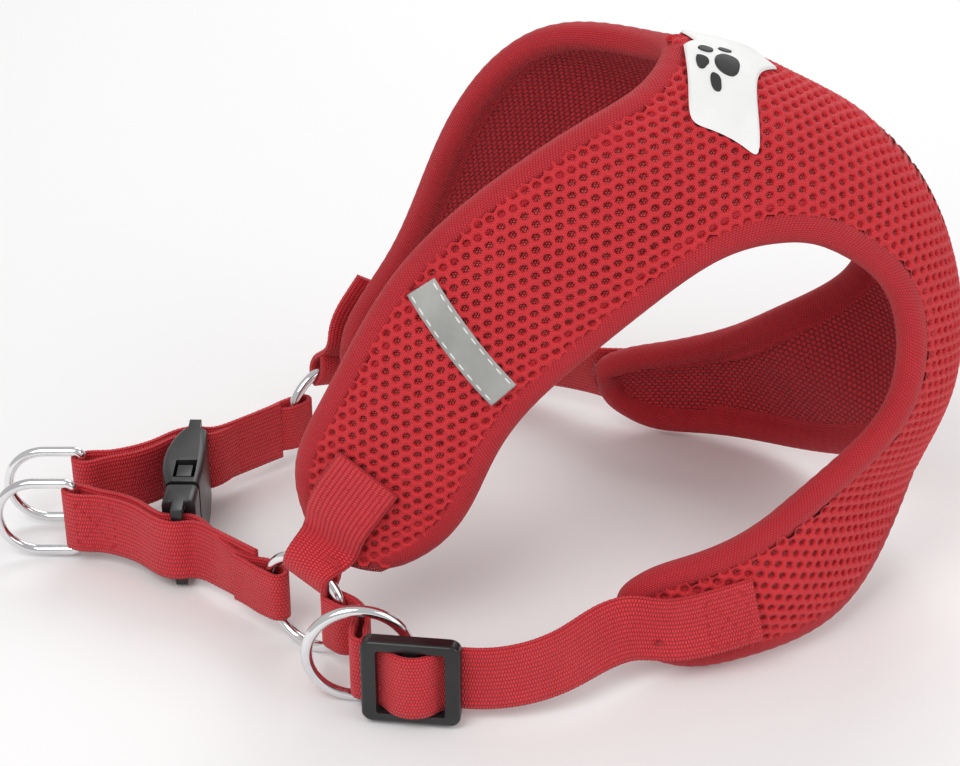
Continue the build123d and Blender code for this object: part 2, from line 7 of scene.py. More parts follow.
import bmesh
import bpy
import numpy as np
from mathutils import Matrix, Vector


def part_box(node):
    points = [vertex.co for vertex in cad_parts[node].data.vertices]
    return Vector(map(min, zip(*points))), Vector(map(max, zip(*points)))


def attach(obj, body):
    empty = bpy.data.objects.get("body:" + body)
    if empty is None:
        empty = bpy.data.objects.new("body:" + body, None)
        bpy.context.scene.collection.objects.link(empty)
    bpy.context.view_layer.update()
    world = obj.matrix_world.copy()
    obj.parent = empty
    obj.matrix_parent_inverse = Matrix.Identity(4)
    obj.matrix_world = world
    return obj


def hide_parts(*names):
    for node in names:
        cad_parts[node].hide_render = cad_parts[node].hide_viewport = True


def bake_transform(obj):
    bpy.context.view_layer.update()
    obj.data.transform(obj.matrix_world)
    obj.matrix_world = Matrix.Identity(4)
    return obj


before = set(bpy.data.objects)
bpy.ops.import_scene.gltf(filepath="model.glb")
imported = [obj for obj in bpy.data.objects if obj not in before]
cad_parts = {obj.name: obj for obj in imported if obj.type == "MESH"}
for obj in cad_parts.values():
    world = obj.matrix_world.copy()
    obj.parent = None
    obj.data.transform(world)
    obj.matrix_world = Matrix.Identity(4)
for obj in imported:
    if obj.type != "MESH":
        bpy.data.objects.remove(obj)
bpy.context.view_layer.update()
MM = 0.001
RIGHT, LEFT = -1, 1
SIDES = {"right": RIGHT, "left": LEFT}
LEASH_RING_REACH = 145.5      # from the layout's middle to the far side of a leash ring, in mm
shift_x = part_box("right_leash_ring")[0][0] / MM + LEASH_RING_REACH
print("the layout sits", round(shift_x, 3), "mm along X in the frame")

# %% [markdown]
# ## Small tools
# Most pieces are a grid of points: one number runs along the piece and another round or across it.
# numpy works out the whole grid at once, and one helper turns any grid into a mesh. Texture
# coordinates are in millimetres, so that a weave has its real pitch wherever it is used.


# %% Curves and directions
def unit(v):
    """Each vector divided by its own length."""
    v = np.asarray(v, float)
    return v / np.maximum(np.linalg.norm(v, axis=-1, keepdims=True), 1e-12)


def spline(t, y, x):
    """Natural cubic spline through the rows of y at t, read at x: its second slope is 0 at both ends."""
    n, h = len(t), np.diff(t)
    a, b = np.eye(n), np.zeros_like(y)
    for i in range(1, n - 1):
        a[i, i - 1 : i + 2] = h[i - 1], 2 * (h[i - 1] + h[i]), h[i]
        b[i] = 6 * ((y[i + 1] - y[i]) / h[i] - (y[i] - y[i - 1]) / h[i - 1])
    m = np.linalg.solve(a, b)
    k = np.clip(np.searchsorted(t, x) - 1, 0, n - 2)
    left, right, span = (t[k + 1] - x)[:, None], (x - t[k])[:, None], h[k][:, None]
    bend = (m[k] * left**3 + m[k + 1] * right**3) / (6 * span)
    return bend + (y[k] / span - m[k] * span / 6) * left + (y[k + 1] / span - m[k + 1] * span / 6) * right


def arc(points):
    """Distance along a row of points, starting at 0."""
    return np.append(0, np.cumsum(np.linalg.norm(np.diff(points, axis=0), axis=1)))


def resampled(points, step):
    """Points a fixed step apart on the smooth line through the given ones."""
    points = np.asarray(points, float)
    s = arc(points)
    fine = spline(s, points, np.linspace(0, s[-1], 8 * len(points)))
    t = arc(fine)
    even = np.linspace(0, t[-1], max(int(t[-1] / step), 4))
    return np.stack([np.interp(even, t, fine[:, k]) for k in range(3)], 1), even


# %% Grids and meshes
def grid_faces(n, m, close_n=False, close_m=False):
    """Quads of an n by m grid, and for each corner its place in the grid with the seams opened out."""
    i, j = np.meshgrid(np.arange(n if close_n else n - 1), np.arange(m if close_m else m - 1), indexing="ij")
    steps = ((0, 0), (1, 0), (1, 1), (0, 1))
    faces = np.stack([(((i + a) % n) * m + (j + b) % m).ravel() for a, b in steps], 1)
    opened = np.stack([((i + a) * (m + 1) + j + b).ravel() for a, b in steps], 1)
    return faces, opened


def to_frame(points):
    """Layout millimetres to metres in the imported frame."""
    return (np.asarray(points, float) + (shift_x, 0, 0)) * MM


def new_piece(name, points, faces, uv=None, material=None, closed=True):
    """Mesh object from points in layout millimetres; uv has one pair of numbers for each corner."""
    mesh = bpy.data.meshes.new(name)
    mesh.from_pydata(to_frame(points).tolist(), [], [list(f) for f in faces])
    if uv is not None:
        layer = mesh.uv_layers.new(name="UVMap")
        layer.data.foreach_set("uv", np.asarray(uv, np.float32).ravel())
    mesh.polygons.foreach_set("use_smooth", np.ones(len(mesh.polygons), bool))
    if closed:
        work = bmesh.new()
        work.from_mesh(mesh)
        bmesh.ops.recalc_face_normals(work, faces=work.faces)
        work.to_mesh(mesh)
        work.free()
    piece = bpy.data.objects.new(name, mesh)
    bpy.context.scene.collection.objects.link(piece)
    if material:
        mesh.materials.append(material)
    return piece


def swept(name, path, side_way, out_way, profile, closed_path=False, material=None, along=None):
    """A closed profile carried along a path: point = path + x * side_way + y * out_way.

    The profile is (m, 2), or (n, m, 2) where it changes along the path. Open ends get a flat cap."""
    n = len(path)
    profile = np.broadcast_to(profile, (n, *np.shape(profile)[-2:]))
    m = profile.shape[1]
    points = path[:, None] + profile[..., :1] * side_way[:, None] + profile[..., 1:] * out_way[:, None]
    faces, opened = grid_faces(n, m, closed_path, True)
    sides = np.diff(np.vstack([profile[0], profile[0][:1]]), axis=0)
    round_it = np.append(0, np.cumsum(np.linalg.norm(sides, axis=1)))
    along = arc(path) if along is None else along
    along = np.append(along, along[-1] + (along[-1] - along[-2]))
    uv = np.stack(np.meshgrid(along, round_it, indexing="ij"), -1).reshape(-1, 2)[opened].reshape(-1, 2)
    faces = [list(f) for f in faces]
    if not closed_path:
        faces += [list(range(m))[::-1], list(range((n - 1) * m, n * m))]
        uv = np.vstack([uv, profile[0][::-1], profile[-1]])
    return new_piece(name, points.reshape(-1, 3), faces, uv, material)


# %% [markdown]
# ## Finishes
# Three effects are shared by several finishes, so each is a node group with its own inputs: rows of
# woven thread, loose fibre that changes the colour a little, and moulded grain.
# A group gives out only numbers; each material keeps its own shader and feeds it from the groups.


# %% Node tools
def link_math(tree, operation, *values):
    """One Math node fed with sockets or plain numbers."""
    node = tree.nodes.new("ShaderNodeMath")
    node.operation = operation
    for socket, value in zip(node.inputs, values):
        if isinstance(value, bpy.types.NodeSocket):
            tree.links.new(value, socket)
        else:
            socket.default_value = value
    return node.outputs[0]


def new_group(name, inputs, outputs):
    """Empty shader group; inputs are (name, default) pairs, where a default of None is a vector."""
    tree = bpy.data.node_groups.new(name, "ShaderNodeTree")
    for label, default in inputs:
        kind = "NodeSocketVector" if default is None else "NodeSocketFloat"
        socket = tree.interface.new_socket(name=label, in_out="INPUT", socket_type=kind)
        if default is not None:
            socket.default_value = default
    for label in outputs:
        tree.interface.new_socket(name=label, in_out="OUTPUT", socket_type="NodeSocketFloat")
    return tree, tree.nodes.new("NodeGroupInput").outputs, tree.nodes.new("NodeGroupOutput").inputs


def split(tree, vector):
    node = tree.nodes.new("ShaderNodeSeparateXYZ")
    tree.links.new(vector, node.inputs[0])
    return node.outputs


# %% Woven thread group
def woven_group():
    """Rows of thread, each slipped along by a share of a pitch: |sin(pi x)|^0.6 * |sin(pi y)|^0.5."""
    inputs = [("Place", None), ("Pitch along", 1.0), ("Pitch across", 1.0), ("Slip", 0.5)]
    tree, given, out = new_group("woven_thread", inputs, ["Height", "Gap"])
    place = split(tree, given["Place"])
    y = link_math(tree, "DIVIDE", place["Y"], given["Pitch across"])
    row = link_math(tree, "FLOOR", y)
    x = link_math(tree, "DIVIDE", place["X"], given["Pitch along"])
    x = link_math(tree, "ADD", x, link_math(tree, "MULTIPLY", row, given["Slip"]))
    waves = []
    for value, power in ((x, 0.6), (y, 0.5)):
        wave = link_math(tree, "ABSOLUTE", link_math(tree, "SINE", link_math(tree, "MULTIPLY", value, np.pi)))
        waves.append(link_math(tree, "POWER", wave, power))
    height = link_math(tree, "MULTIPLY", *waves)
    tree.links.new(height, out["Height"])
    tree.links.new(link_math(tree, "SUBTRACT", 1.0, height), out["Gap"])
    return tree


# %% Fibre and grain groups
def noise(tree, vector, scale, detail=3.0):
    node = tree.nodes.new("ShaderNodeTexNoise")
    node.inputs["Scale"].default_value = scale
    node.inputs["Detail"].default_value = detail
    tree.links.new(vector, node.inputs["Vector"])
    return node.outputs["Fac"]


def fibre_group():
    """Loose fibre: coarse and fine noise, added with weights, as a value round 0.5; a large Fuzz also paints
    bright specks as glints.
    """
    sockets = [("Place", None), ("Patch", 0.5), ("Fuzz", 0.5)]
    tree, given, out = new_group("loose_fibre", sockets, ["Tone", "Height"])
    coarse = noise(tree, given["Place"], 90.0)
    fine = noise(tree, given["Place"], 2600.0, 2.0)
    patch = link_math(tree, "MULTIPLY", link_math(tree, "SUBTRACT", coarse, 0.5), given["Patch"])
    fuzz = link_math(tree, "MULTIPLY", link_math(tree, "SUBTRACT", fine, 0.5), given["Fuzz"])
    tone = link_math(tree, "ADD", 0.5, link_math(tree, "ADD", patch, fuzz))
    tree.links.new(tone, out["Tone"])
    tree.links.new(fine, out["Height"])
    return tree


def grain_group():
    """Moulded or worn grain: fine noise for the height, and a slow one for where hands have rubbed it."""
    tree, given, out = new_group("moulded_grain", [("Place", None), ("Size", 2500.0)], ["Height", "Rub"])
    node = tree.nodes.new("ShaderNodeTexNoise")
    tree.links.new(given["Size"], node.inputs["Scale"])
    tree.links.new(given["Place"], node.inputs["Vector"])
    tree.links.new(node.outputs["Fac"], out["Height"])
    tree.links.new(noise(tree, given["Place"], 60.0), out["Rub"])
    return tree


WOVEN, FIBRE, GRAIN = woven_group(), fibre_group(), grain_group()


# %% Material tools
def group(tree, which, **values):
    """Places a node group, with its inputs named by their first word."""
    node = tree.nodes.new("ShaderNodeGroup")
    node.node_tree = which
    for socket in node.inputs:
        value = values.get(socket.name.lower().replace(" ", "_"))
        if isinstance(value, bpy.types.NodeSocket):
            tree.links.new(value, socket)
        elif value is not None:
            socket.default_value = value
    return node.outputs


def new_material(name, **shader):
    """Principled material; shader gives the values that are the same all over."""
    material = bpy.data.materials.new(name)
    material.use_nodes = True
    tree = material.node_tree
    principled = tree.nodes["Principled BSDF"]
    for label, value in shader.items():
        principled.inputs[label.replace("_", " ")].default_value = value
    place = tree.nodes.new("ShaderNodeTexCoord").outputs
    return material, tree, principled, place


def colour_ramp(tree, factor, *stops):
    node = tree.nodes.new("ShaderNodeValToRGB")
    ramp = node.color_ramp
    for k, (position, colour) in enumerate(stops):
        stop = ramp.elements[k] if k < 2 else ramp.elements.new(position)
        stop.position, stop.color = position, (*colour, 1)
    tree.links.new(factor, node.inputs[0])
    return node.outputs[0]


def bump(tree, principled, height, distance, strength=1.0):
    node = tree.nodes.new("ShaderNodeBump")
    node.inputs["Distance"].default_value = distance
    node.inputs["Strength"].default_value = strength
    tree.links.new(height, node.inputs["Height"])
    tree.links.new(node.outputs[0], principled.inputs["Normal"])


def tinted(tree, principled, factor, *stops):
    """Colour from a ramp over one value."""
    tree.links.new(colour_ramp(tree, factor, *stops), principled.inputs["Base Color"])


def roughened(tree, principled, factor, scale, least):
    """Roughness = factor * scale + least."""
    rough = link_math(tree, "MULTIPLY_ADD", factor, scale, least)
    tree.links.new(rough, principled.inputs["Roughness"])


# %% Cloth finishes


def cloth(name, pitch_along, pitch_across, slip, depth, painted_shade_to_highlight_tones, patch=0.25, fuzz=0.5, sheen=0.08, rough=0.75):
    """Woven or knitted cloth: thread rows for the relief and for painted shade in the gaps with a painted
    highlight on the crowns, fibre noise for the tone.
    """
    material, tree, principled, place = new_material(
        name, Roughness=rough, Sheen_Weight=sheen, Sheen_Roughness=0.4)
    woven = group(tree, WOVEN, place=place["UV"], pitch_along=pitch_along,
                  pitch_across=pitch_across, slip=slip)
    fibre = group(tree, FIBRE, place=place["Object"], patch=patch, fuzz=fuzz)
    # Colour follows the thread rows: painted shade in the gaps between threads and a painted highlight on
    # their crowns, varied by the fibre tone.
    tone = link_math(tree, "MULTIPLY", woven["Height"], link_math(tree, "MULTIPLY", fibre["Tone"], 2.0))
    tinted(tree, principled, tone, (0.0, painted_shade_to_highlight_tones[0]), (1.0, painted_shade_to_highlight_tones[2]), (0.45, painted_shade_to_highlight_tones[1]))
    height = link_math(tree, "ADD", woven["Height"], link_math(tree, "MULTIPLY", fibre["Height"], 0.35))
    bump(tree, principled, height, depth)
    return material


# Each cloth's three tones: painted shade in the thread gaps, the cloth's own colour, a painted highlight on
# the thread crowns.
binding_cloth = cloth("binding_twill", 0.9, 0.62, 0.37, 0.00022,
                      ((0.2, 0.002, 0.008), (0.45, 0.006, 0.016), (0.6, 0.02, 0.03)))
webbing_cloth = cloth("red_webbing", 0.75, 1.05, 0.5, 0.0003,
                      ((0.17, 0.002, 0.006), (0.56, 0.008, 0.02), (0.78, 0.035, 0.045)), rough=0.6)
mesh_cloth = cloth("air_mesh_knit", 0.45, 0.5, 0.5, 0.00012,
                   ((0.28, 0.003, 0.008), (0.6, 0.01, 0.02), (0.78, 0.035, 0.045)), rough=0.7)
# The spacer's tones are darker than the knit's as painted shade inside the holes, and its strong fuzz
# scatters pink specks as painted glints on its threads.
foam_cloth = cloth("spacer_layer", 0.8, 0.7, 0.5, 0.0003,
                   ((0.08, 0.001, 0.003), (0.3, 0.004, 0.01), (0.75, 0.12, 0.12)), fuzz=1.6)
lining_cloth = cloth("lining_mesh", 2.1, 1.35, 0.5, 0.0006,
                     ((0.07, 0.001, 0.003), (0.42, 0.006, 0.014), (0.6, 0.02, 0.03)))
thread_cloth = cloth("red_thread", 0.6, 0.3, 0.5, 0.0001,
                     ((0.2, 0.002, 0.008), (0.5, 0.008, 0.02), (0.66, 0.03, 0.04)))

# %% Metal, plastic, rubber and tape
steel, tree, principled, place = new_material("polished_steel", Metallic=1.0)
grain = group(tree, GRAIN, place=place["Object"], size=900.0)
tinted(tree, principled, grain["Rub"], (0.3, (0.72, 0.72, 0.74)), (0.7, (0.86, 0.86, 0.87)))
roughened(tree, principled, grain["Rub"], 0.16, 0.03)
bump(tree, principled, grain["Height"], 0.00002, 0.3)

plastic, tree, principled, place = new_material("black_moulding", Specular_IOR_Level=0.5)
grain = group(tree, GRAIN, place=place["Object"], size=3500.0)
tinted(tree, principled, grain["Rub"], (0.3, (0.008, 0.008, 0.009)), (0.7, (0.022, 0.022, 0.024)))
roughened(tree, principled, grain["Rub"], 0.2, 0.24)
bump(tree, principled, grain["Height"], 0.00004, 0.5)

tape, tree, principled, place = new_material("reflective_tape", Metallic=0.35)
grain = group(tree, GRAIN, place=place["Object"], size=5200.0)
tinted(tree, principled, grain["Rub"], (0.3, (0.3, 0.3, 0.29)), (0.7, (0.46, 0.46, 0.44)))
roughened(tree, principled, grain["Height"], 0.3, 0.25)
bump(tree, principled, grain["Height"], 0.00006)


def rubber(name, low, high):
    """Soft moulded rubber in one colour, a little uneven."""
    material, tree, principled, place = new_material(name)
    grain = group(tree, GRAIN, place=place["Object"], size=2200.0)
    tinted(tree, principled, grain["Rub"], (0.3, low), (0.7, high))
    roughened(tree, principled, grain["Height"], 0.25, 0.4)
    bump(tree, principled, grain["Height"], 0.00005)
    return material


white_rubber = rubber("white_rubber", (0.78, 0.78, 0.77), (0.86, 0.86, 0.85))
black_rubber = rubber("black_rubber", (0.012, 0.012, 0.013), (0.03, 0.03, 0.032))
white_thread = rubber("white_thread", (0.7, 0.7, 0.68), (0.85, 0.85, 0.83))

# %% [markdown]
# ## The chest piece's surface
# The pad is one curved surface. Ribs run across it, each a curve with three points: on the leg
# hole's edge, a point that pulls the curve out, and on the outer edge. Splines through the ribs fill
# in what lies between. u runs from the shoulder arm's end to the rib arm's end and v from the leg
# hole to the outer edge. The left half mirrors the right, with its shoulder arm leaning a little.

# %% Ribs of the pad, in layout millimetres
CROWN = 4.0
RIBS = [
    ((-27, -58, 26), None, (-44, -46, 25)),
    ((-14, -58, 33), None, (-51, -45, 40)),
    ((5, -55, 64), None, (-44, -44, 76)),
    ((28, -50.5, 90), None, (-22, -39, 114)),
    ((48, -47.5, 107), None, (5, -33, 138)),
    ((64, -44.5, 118), None, (30, -24, 152)),
    ((73, -42.5, 121), (60, -31, 148), (44, -14, 158)),
    ((81, -41, 122), (69, -20, 157), (50, 0, 163)),
    ((97, -38, 118), (86, -20, 150), (86, 0, 150)),
    ((111, -36, 106), (114, -20, 132), (114, 0, 132)),
    ((117, -39, 87), (134, -22, 96), (134, 0, 96)),
    ((112, -46, 68), (137, -24, 60), (137, 0, 60)),
    ((97, -53, 54), (124, -26, 34), (131, 0, 30)),
    ((78, -58.5, 43.5), None, (104, -46, 6)),
    ((58, -62, 36.5), None, (74, -63, 1.2)),
    ((43, -63.5, 32), None, (50, -67, 2.5)),
    ((34, -64.5, 26), None, (36, -66, 12)),
]
NECK_RIB, BELLY_RIB = 7, 12
LEAN_X, LEAN_Z = 15.0, 13.0

LEG = np.array([r[0] for r in RIBS], float)
RIM = np.array([r[2] for r in RIBS], float)
STATION = arc((LEG + RIM) / 2) / arc((LEG + RIM) / 2)[-1]
U_NECK, U_BELLY = STATION[NECK_RIB], STATION[BELLY_RIB]
plain_lift = unit(np.cross(np.gradient(LEG + RIM, axis=0), RIM - LEG))
plain_pull = (LEG + RIM) / 2 + 2 * CROWN * plain_lift
PULL = np.array([plain_pull[i] if r[1] is None else r[1] for i, r in enumerate(RIBS)], float)


# %% Points and normals on the pad
def pad_point(u, v, side):
    """Quadratic curve across a rib: (1-v)^2 leg + 2v(1-v) pull + v^2 rim, each of them a spline in u."""
    u = np.clip(u, 0, 1)
    leg, pull, rim = spline(STATION, LEG, u), spline(STATION, PULL, u), np.zeros((len(u), 3))
    stops = [0, NECK_RIB, BELLY_RIB, len(RIBS) - 1]
    for a, b in zip(stops[:-1], stops[1:]):
        own = (u >= STATION[a] - 1e-9) & (u <= STATION[b] + 1e-9)
        rim[own] = spline(STATION[a : b + 1], RIM[a : b + 1], u[own])
    pull[:, 1] = np.minimum(pull[:, 1], 0)
    v = v[:, None]
    point = (1 - v) ** 2 * leg + 2 * v * (1 - v) * pull + v * v * rim
    if side == LEFT:
        arm = np.clip(u / U_NECK, 0, 1)
        point[:, 0] += LEAN_X * np.sin(np.pi * arm**0.6) ** 2
        point[:, 2] += LEAN_Z * np.sin(np.pi * arm**1.8) ** 2
        point[:, 1] *= -1
    return point


def pad_surface(u, v, side, lift=0.0):
    """Points and outward normals: the normal is the cross product of the surface's two slopes."""
    u, v = np.broadcast_arrays(np.asarray(u, float), np.asarray(v, float))
    shape, u, v = u.shape, u.ravel(), v.ravel()
    step = 0.002
    lower, upper = np.clip(v - step, -1, 0.9999), np.clip(v + step, 0, 1)
    slope_u = pad_point(u + step, v, side) - pad_point(u - step, v, side)
    slope_v = pad_point(u, upper, side) - pad_point(u, lower, side)
    normal = -side * unit(np.cross(slope_u, slope_v))
    fold = (v > 0.985) & (u >= U_NECK) & (u <= U_BELLY)
    normal[fold] = unit(normal[fold] * (1, 0, 1))
    height = np.ravel(lift)[:, None] if np.size(lift) > 1 else lift
    point = pad_point(u, v, side) + normal * np.broadcast_to(height, (len(u), 1))
    return point.reshape(*shape, 3), normal.reshape(*shape, 3)


# %% [markdown]
# ## Laying the pad flat
# The outer cloth is cut from a roll, so its rows of holes are straight in the flat cloth and bend
# only where the pad does. To find the flat shape, the pad's grid is unrolled along its middle and
# then relaxed: every short edge of the grid pulls or pushes until it has its real length.

# %% Grid over both halves
ACROSS = 17
stations = np.concatenate([np.linspace(0, U_NECK, 44)[:-1], np.linspace(U_NECK, U_BELLY, 40)[:-1],
                           np.linspace(U_BELLY, 1, 24)])
shares = np.linspace(0, 1, ACROSS)
ROWS = len(stations)
at_fold = (stations >= U_NECK - 1e-9) & (stations <= U_BELLY + 1e-9)
solid_grid, normal_grid, knot = {}, {}, {}
for side in (RIGHT, LEFT):
    u, v = np.meshgrid(stations, shares, indexing="ij")
    solid_grid[side], normal_grid[side] = pad_surface(u, v, side)
    knot[side] = np.arange(ROWS * ACROSS).reshape(ROWS, ACROSS) + (side == LEFT) * ROWS * ACROSS
knot[LEFT][at_fold, -1] = knot[RIGHT][at_fold, -1]


# %% Unroll one half
def unrolled(side):
    """Flat places as complex numbers: the middle line keeps its turning, each rib its angle and length."""
    mid, half = ACROSS // 2, solid_grid[side]
    line, normal = half[:, mid], normal_grid[side][:, mid]
    way, rib = unit(np.gradient(line, axis=0)), unit(half[:, mid + 1] - half[:, mid - 1])
    turn = np.arctan2((np.cross(way[:-1], way[1:]) * normal[:-1]).sum(1), (way[:-1] * way[1:]).sum(1))
    heading = np.append(0, np.cumsum(turn))
    middle = np.append(0, np.cumsum(np.diff(arc(line)) * np.exp(1j * (heading[:-1] + turn / 2))))
    lean = np.arctan2((np.cross(way, rib) * normal).sum(1), (way * rib).sum(1))
    reach = np.cumsum(np.linalg.norm(np.diff(half, axis=1, prepend=half[:, :1]), axis=2), axis=1)
    reach -= reach[:, mid : mid + 1]
    return middle[:, None] + reach * np.exp(1j * (heading + lean))[:, None]


flat = {side: unrolled(side) for side in (RIGHT, LEFT)}
here, there = flat[LEFT][at_fold, -1], flat[RIGHT][at_fold, -1]
turn = (np.conj(here - here.mean()) * (there - there.mean())).sum()
flat[LEFT] = (flat[LEFT] - here.mean()) * turn / abs(turn) + there.mean()

# %% Relax it
place = np.zeros(2 * ROWS * ACROSS, complex)
solid = np.zeros((2 * ROWS * ACROSS, 3))
for side in (LEFT, RIGHT):
    place[knot[side]] = flat[side]
    solid[knot[side]] = solid_grid[side]
edges = []
for side in (RIGHT, LEFT):
    k = knot[side]
    for a, b in ((k[:-1], k[1:]), (k[:, :-1], k[:, 1:]), (k[:-1, :-1], k[1:, 1:]), (k[1:, :-1], k[:-1, 1:])):
        edges.append(np.stack([a.ravel(), b.ravel()], 1))
edges = np.vstack(edges)
start, stop = edges.T
rest = np.linalg.norm(solid[start] - solid[stop], axis=1)
load = np.maximum(np.bincount(start, minlength=len(place)) + np.bincount(stop, minlength=len(place)), 1)
for _ in range(900):
    gap = place[stop] - place[start]
    pull = gap * (1 - rest / np.abs(gap)) / 2
    move = sum(np.bincount(k, weights=part, minlength=len(place)) * unit_part
               for part, unit_part in ((pull.real, 1), (pull.imag, 1j)) for k in (start,))
    move -= sum(np.bincount(k, weights=part, minlength=len(place)) * unit_part
                for part, unit_part in ((pull.real, 1), (pull.imag, 1j)) for k in (stop,))
    place += 1.4 * move / load
stretch = np.abs(place[stop] - place[start]) / rest
for side in (RIGHT, LEFT):
    flat[side] = place[knot[side]]
print("flat cloth stretch, middle half:", np.round(np.percentile(stretch, [25, 50, 75, 99]), 3))

# %% [markdown]
# ## Reading the flat cloth backwards
# A hole is placed in the flat cloth, and its points then have to be found on the pad. A coarse map
# of the flat cloth gives a first guess for each point, and a few Newton steps make it exact.


# %% From flat cloth to the pad
def between(table, i, j):
    """Bilinear reading of a table at places that are not whole numbers, carried on past its edge."""
    a = np.clip(np.floor(i).astype(int), 0, table.shape[0] - 2)
    b = np.clip(np.floor(j).astype(int), 0, table.shape[1] - 2)
    s, t = i - a, j - b
    low = table[a, b] * (1 - t) + table[a, b + 1] * t
    high = table[a + 1, b] * (1 - t) + table[a + 1, b + 1] * t
    return low * (1 - s) + high * s, high - low, (table[a, b + 1] - table[a, b]) * (1 - s) + (
        table[a + 1, b + 1] - table[a + 1, b]) * s


MAP_STEP = 1.0
fine_i = np.linspace(0, ROWS - 1, 8 * ROWS)
fine_j = np.linspace(0, ACROSS - 1, 9 * ACROSS)
guess_i, guess_j = (g.ravel() for g in np.meshgrid(fine_i, fine_j, indexing="ij"))
low_corner = min(flat[s].real.min() for s in flat) - 6 + 1j * (min(flat[s].imag.min() for s in flat) - 6)
high_corner = max(flat[s].real.max() for s in flat) + 6 + 1j * (max(flat[s].imag.max() for s in flat) + 6)
size = high_corner - low_corner
cloth_map = np.full((int(size.real / MAP_STEP) + 2, int(size.imag / MAP_STEP) + 2), -1)
for number, side in enumerate((LEFT, RIGHT)):
    spot = between(flat[side], guess_i, guess_j)[0] - low_corner
    cloth_map[(spot.real / MAP_STEP).astype(int), (spot.imag / MAP_STEP).astype(int)] = (
        np.arange(len(guess_i)) + number * len(guess_i))


def looked_up(spots):
    where = (spots - low_corner) / MAP_STEP
    a = np.clip(where.real.astype(int), 0, cloth_map.shape[0] - 1)
    b = np.clip(where.imag.astype(int), 0, cloth_map.shape[1] - 1)
    return cloth_map[a, b]


def on_the_pad(spots, fallback):
    """Side, u and v of flat points: Newton steps on the bilinear grid, from the map's guess."""
    found = looked_up(spots)
    found = np.where(found < 0, fallback, found)
    side = np.where(found >= len(guess_i), RIGHT, LEFT)
    i, j = guess_i[found % len(guess_i)].copy(), guess_j[found % len(guess_i)].copy()
    for own in (RIGHT, LEFT):
        mine = side == own
        for _ in range(6):
            at, along_i, along_j = between(flat[own], i[mine], j[mine])
            miss = spots[mine] - at
            area = (np.conj(along_i) * along_j).imag
            step_i = (np.conj(miss) * along_j).imag / area
            step_j = -(np.conj(miss) * along_i).imag / area
            i[mine] += np.clip(step_i, -1, 1)
            j[mine] += np.clip(step_j, -1, 1)
    u = np.interp(i, np.arange(ROWS), stations)
    return side, u, np.clip(j / (ACROSS - 1), -0.05, 1)


# %% [markdown]
# ## The air mesh
# Air mesh is knitted with open holes over a thick spacer layer. The holes are what the eye reads
# first, so they are real openings here: each knitted cell is a six-sided ring round an oval hole,
# with a wall that goes down to the layer below. Neighbouring cells share their outer points.

# %% Cells of the knit
PITCH = 3.5                   # from hole to hole along a row
EDGE_MARGIN = 6.2             # the cells start this far in, under the rolled edge
HOLE_LONG, HOLE_SHORT = 1.28, 0.98
WALL_DEPTH = 1.5
MESH_LIFT = -0.5              # the knit's face against the surface of the rolled edge's crest

fold_way = np.diff(flat[RIGHT][at_fold, -1][[0, -1]])[0]
row_way = fold_way / abs(fold_way) * np.exp(1j * np.radians(62))
reach = int(abs(size) / PITCH) + 2
count_x, count_y = np.meshgrid(np.arange(-reach, reach), np.arange(-reach, reach), indexing="ij")
centres = ((count_x + (count_y % 2) / 2) * PITCH + 1j * count_y * PITCH * np.sqrt(3) / 2).ravel() * row_way
centres += flat[RIGHT][at_fold, -1].mean()
inside = (centres.real > low_corner.real) & (centres.real < high_corner.real) & (
    centres.imag > low_corner.imag) & (centres.imag < high_corner.imag)
centres = centres[inside]
centres = centres[looked_up(centres) >= 0]
centre_guess = looked_up(centres)
cell_side, cell_u, cell_v = on_the_pad(centres, centre_guess)
from_leg, to_rim = np.zeros(len(centres)), np.zeros(len(centres))
from_end = np.zeros(len(centres))
for side in (RIGHT, LEFT):
    mine = cell_side == side
    half = solid_grid[side]
    width = np.cumsum(np.linalg.norm(np.diff(half, axis=1, prepend=half[:, :1]), axis=2), axis=1)
    i = np.interp(cell_u[mine], stations, np.arange(ROWS))
    from_leg[mine] = between(width, i, cell_v[mine] * (ACROSS - 1))[0]
    to_rim[mine] = between(width, i, np.full(mine.sum(), ACROSS - 1.0))[0] - from_leg[mine]
    length = arc(half[:, ACROSS // 2])
    s = np.interp(cell_u[mine], stations, length)
    from_end[mine] = np.minimum(s, length[-1] - s)
on_chest = (cell_u > U_NECK) & (cell_u < U_BELLY)
kept = (from_leg > EDGE_MARGIN) & ((to_rim > EDGE_MARGIN) | on_chest) & (from_end > EDGE_MARGIN)
centres, centre_guess = centres[kept], centre_guess[kept]
print("knitted cells:", len(centres))

# %% Points and faces of the knit
round_it = np.radians(np.arange(12) * 30)
corner = np.arange(12) % 2 == 1
rim_radius = np.where(corner, PITCH / np.sqrt(3), PITCH / 2)
rings = [rim_radius * np.exp(1j * round_it),
         HOLE_LONG * np.cos(round_it) + 1j * HOLE_SHORT * np.sin(round_it),
         0.9 * (HOLE_LONG * np.cos(round_it) + 1j * HOLE_SHORT * np.sin(round_it))]
heights = [np.where(corner, 0.22, 0.08), np.full(12, -0.16), np.full(12, -WALL_DEPTH)]
cell = np.concatenate(rings) * row_way
lift = np.tile(np.concatenate(heights), len(centres))
spots = (centres[:, None] + cell).ravel()
key = np.round(np.stack([spots.real, spots.imag, np.repeat(0, len(spots))], 1) / 0.02).astype(int)
key[:, 2] = np.tile(np.repeat([0, 1, 2], 12), len(centres))
_, first, back = np.unique(key, axis=0, return_index=True, return_inverse=True)
back = back.ravel()
side, u, v = on_the_pad(spots[first], np.repeat(centre_guess, 36)[first])
knit = np.zeros((len(first), 3))
PUFF = 1.0
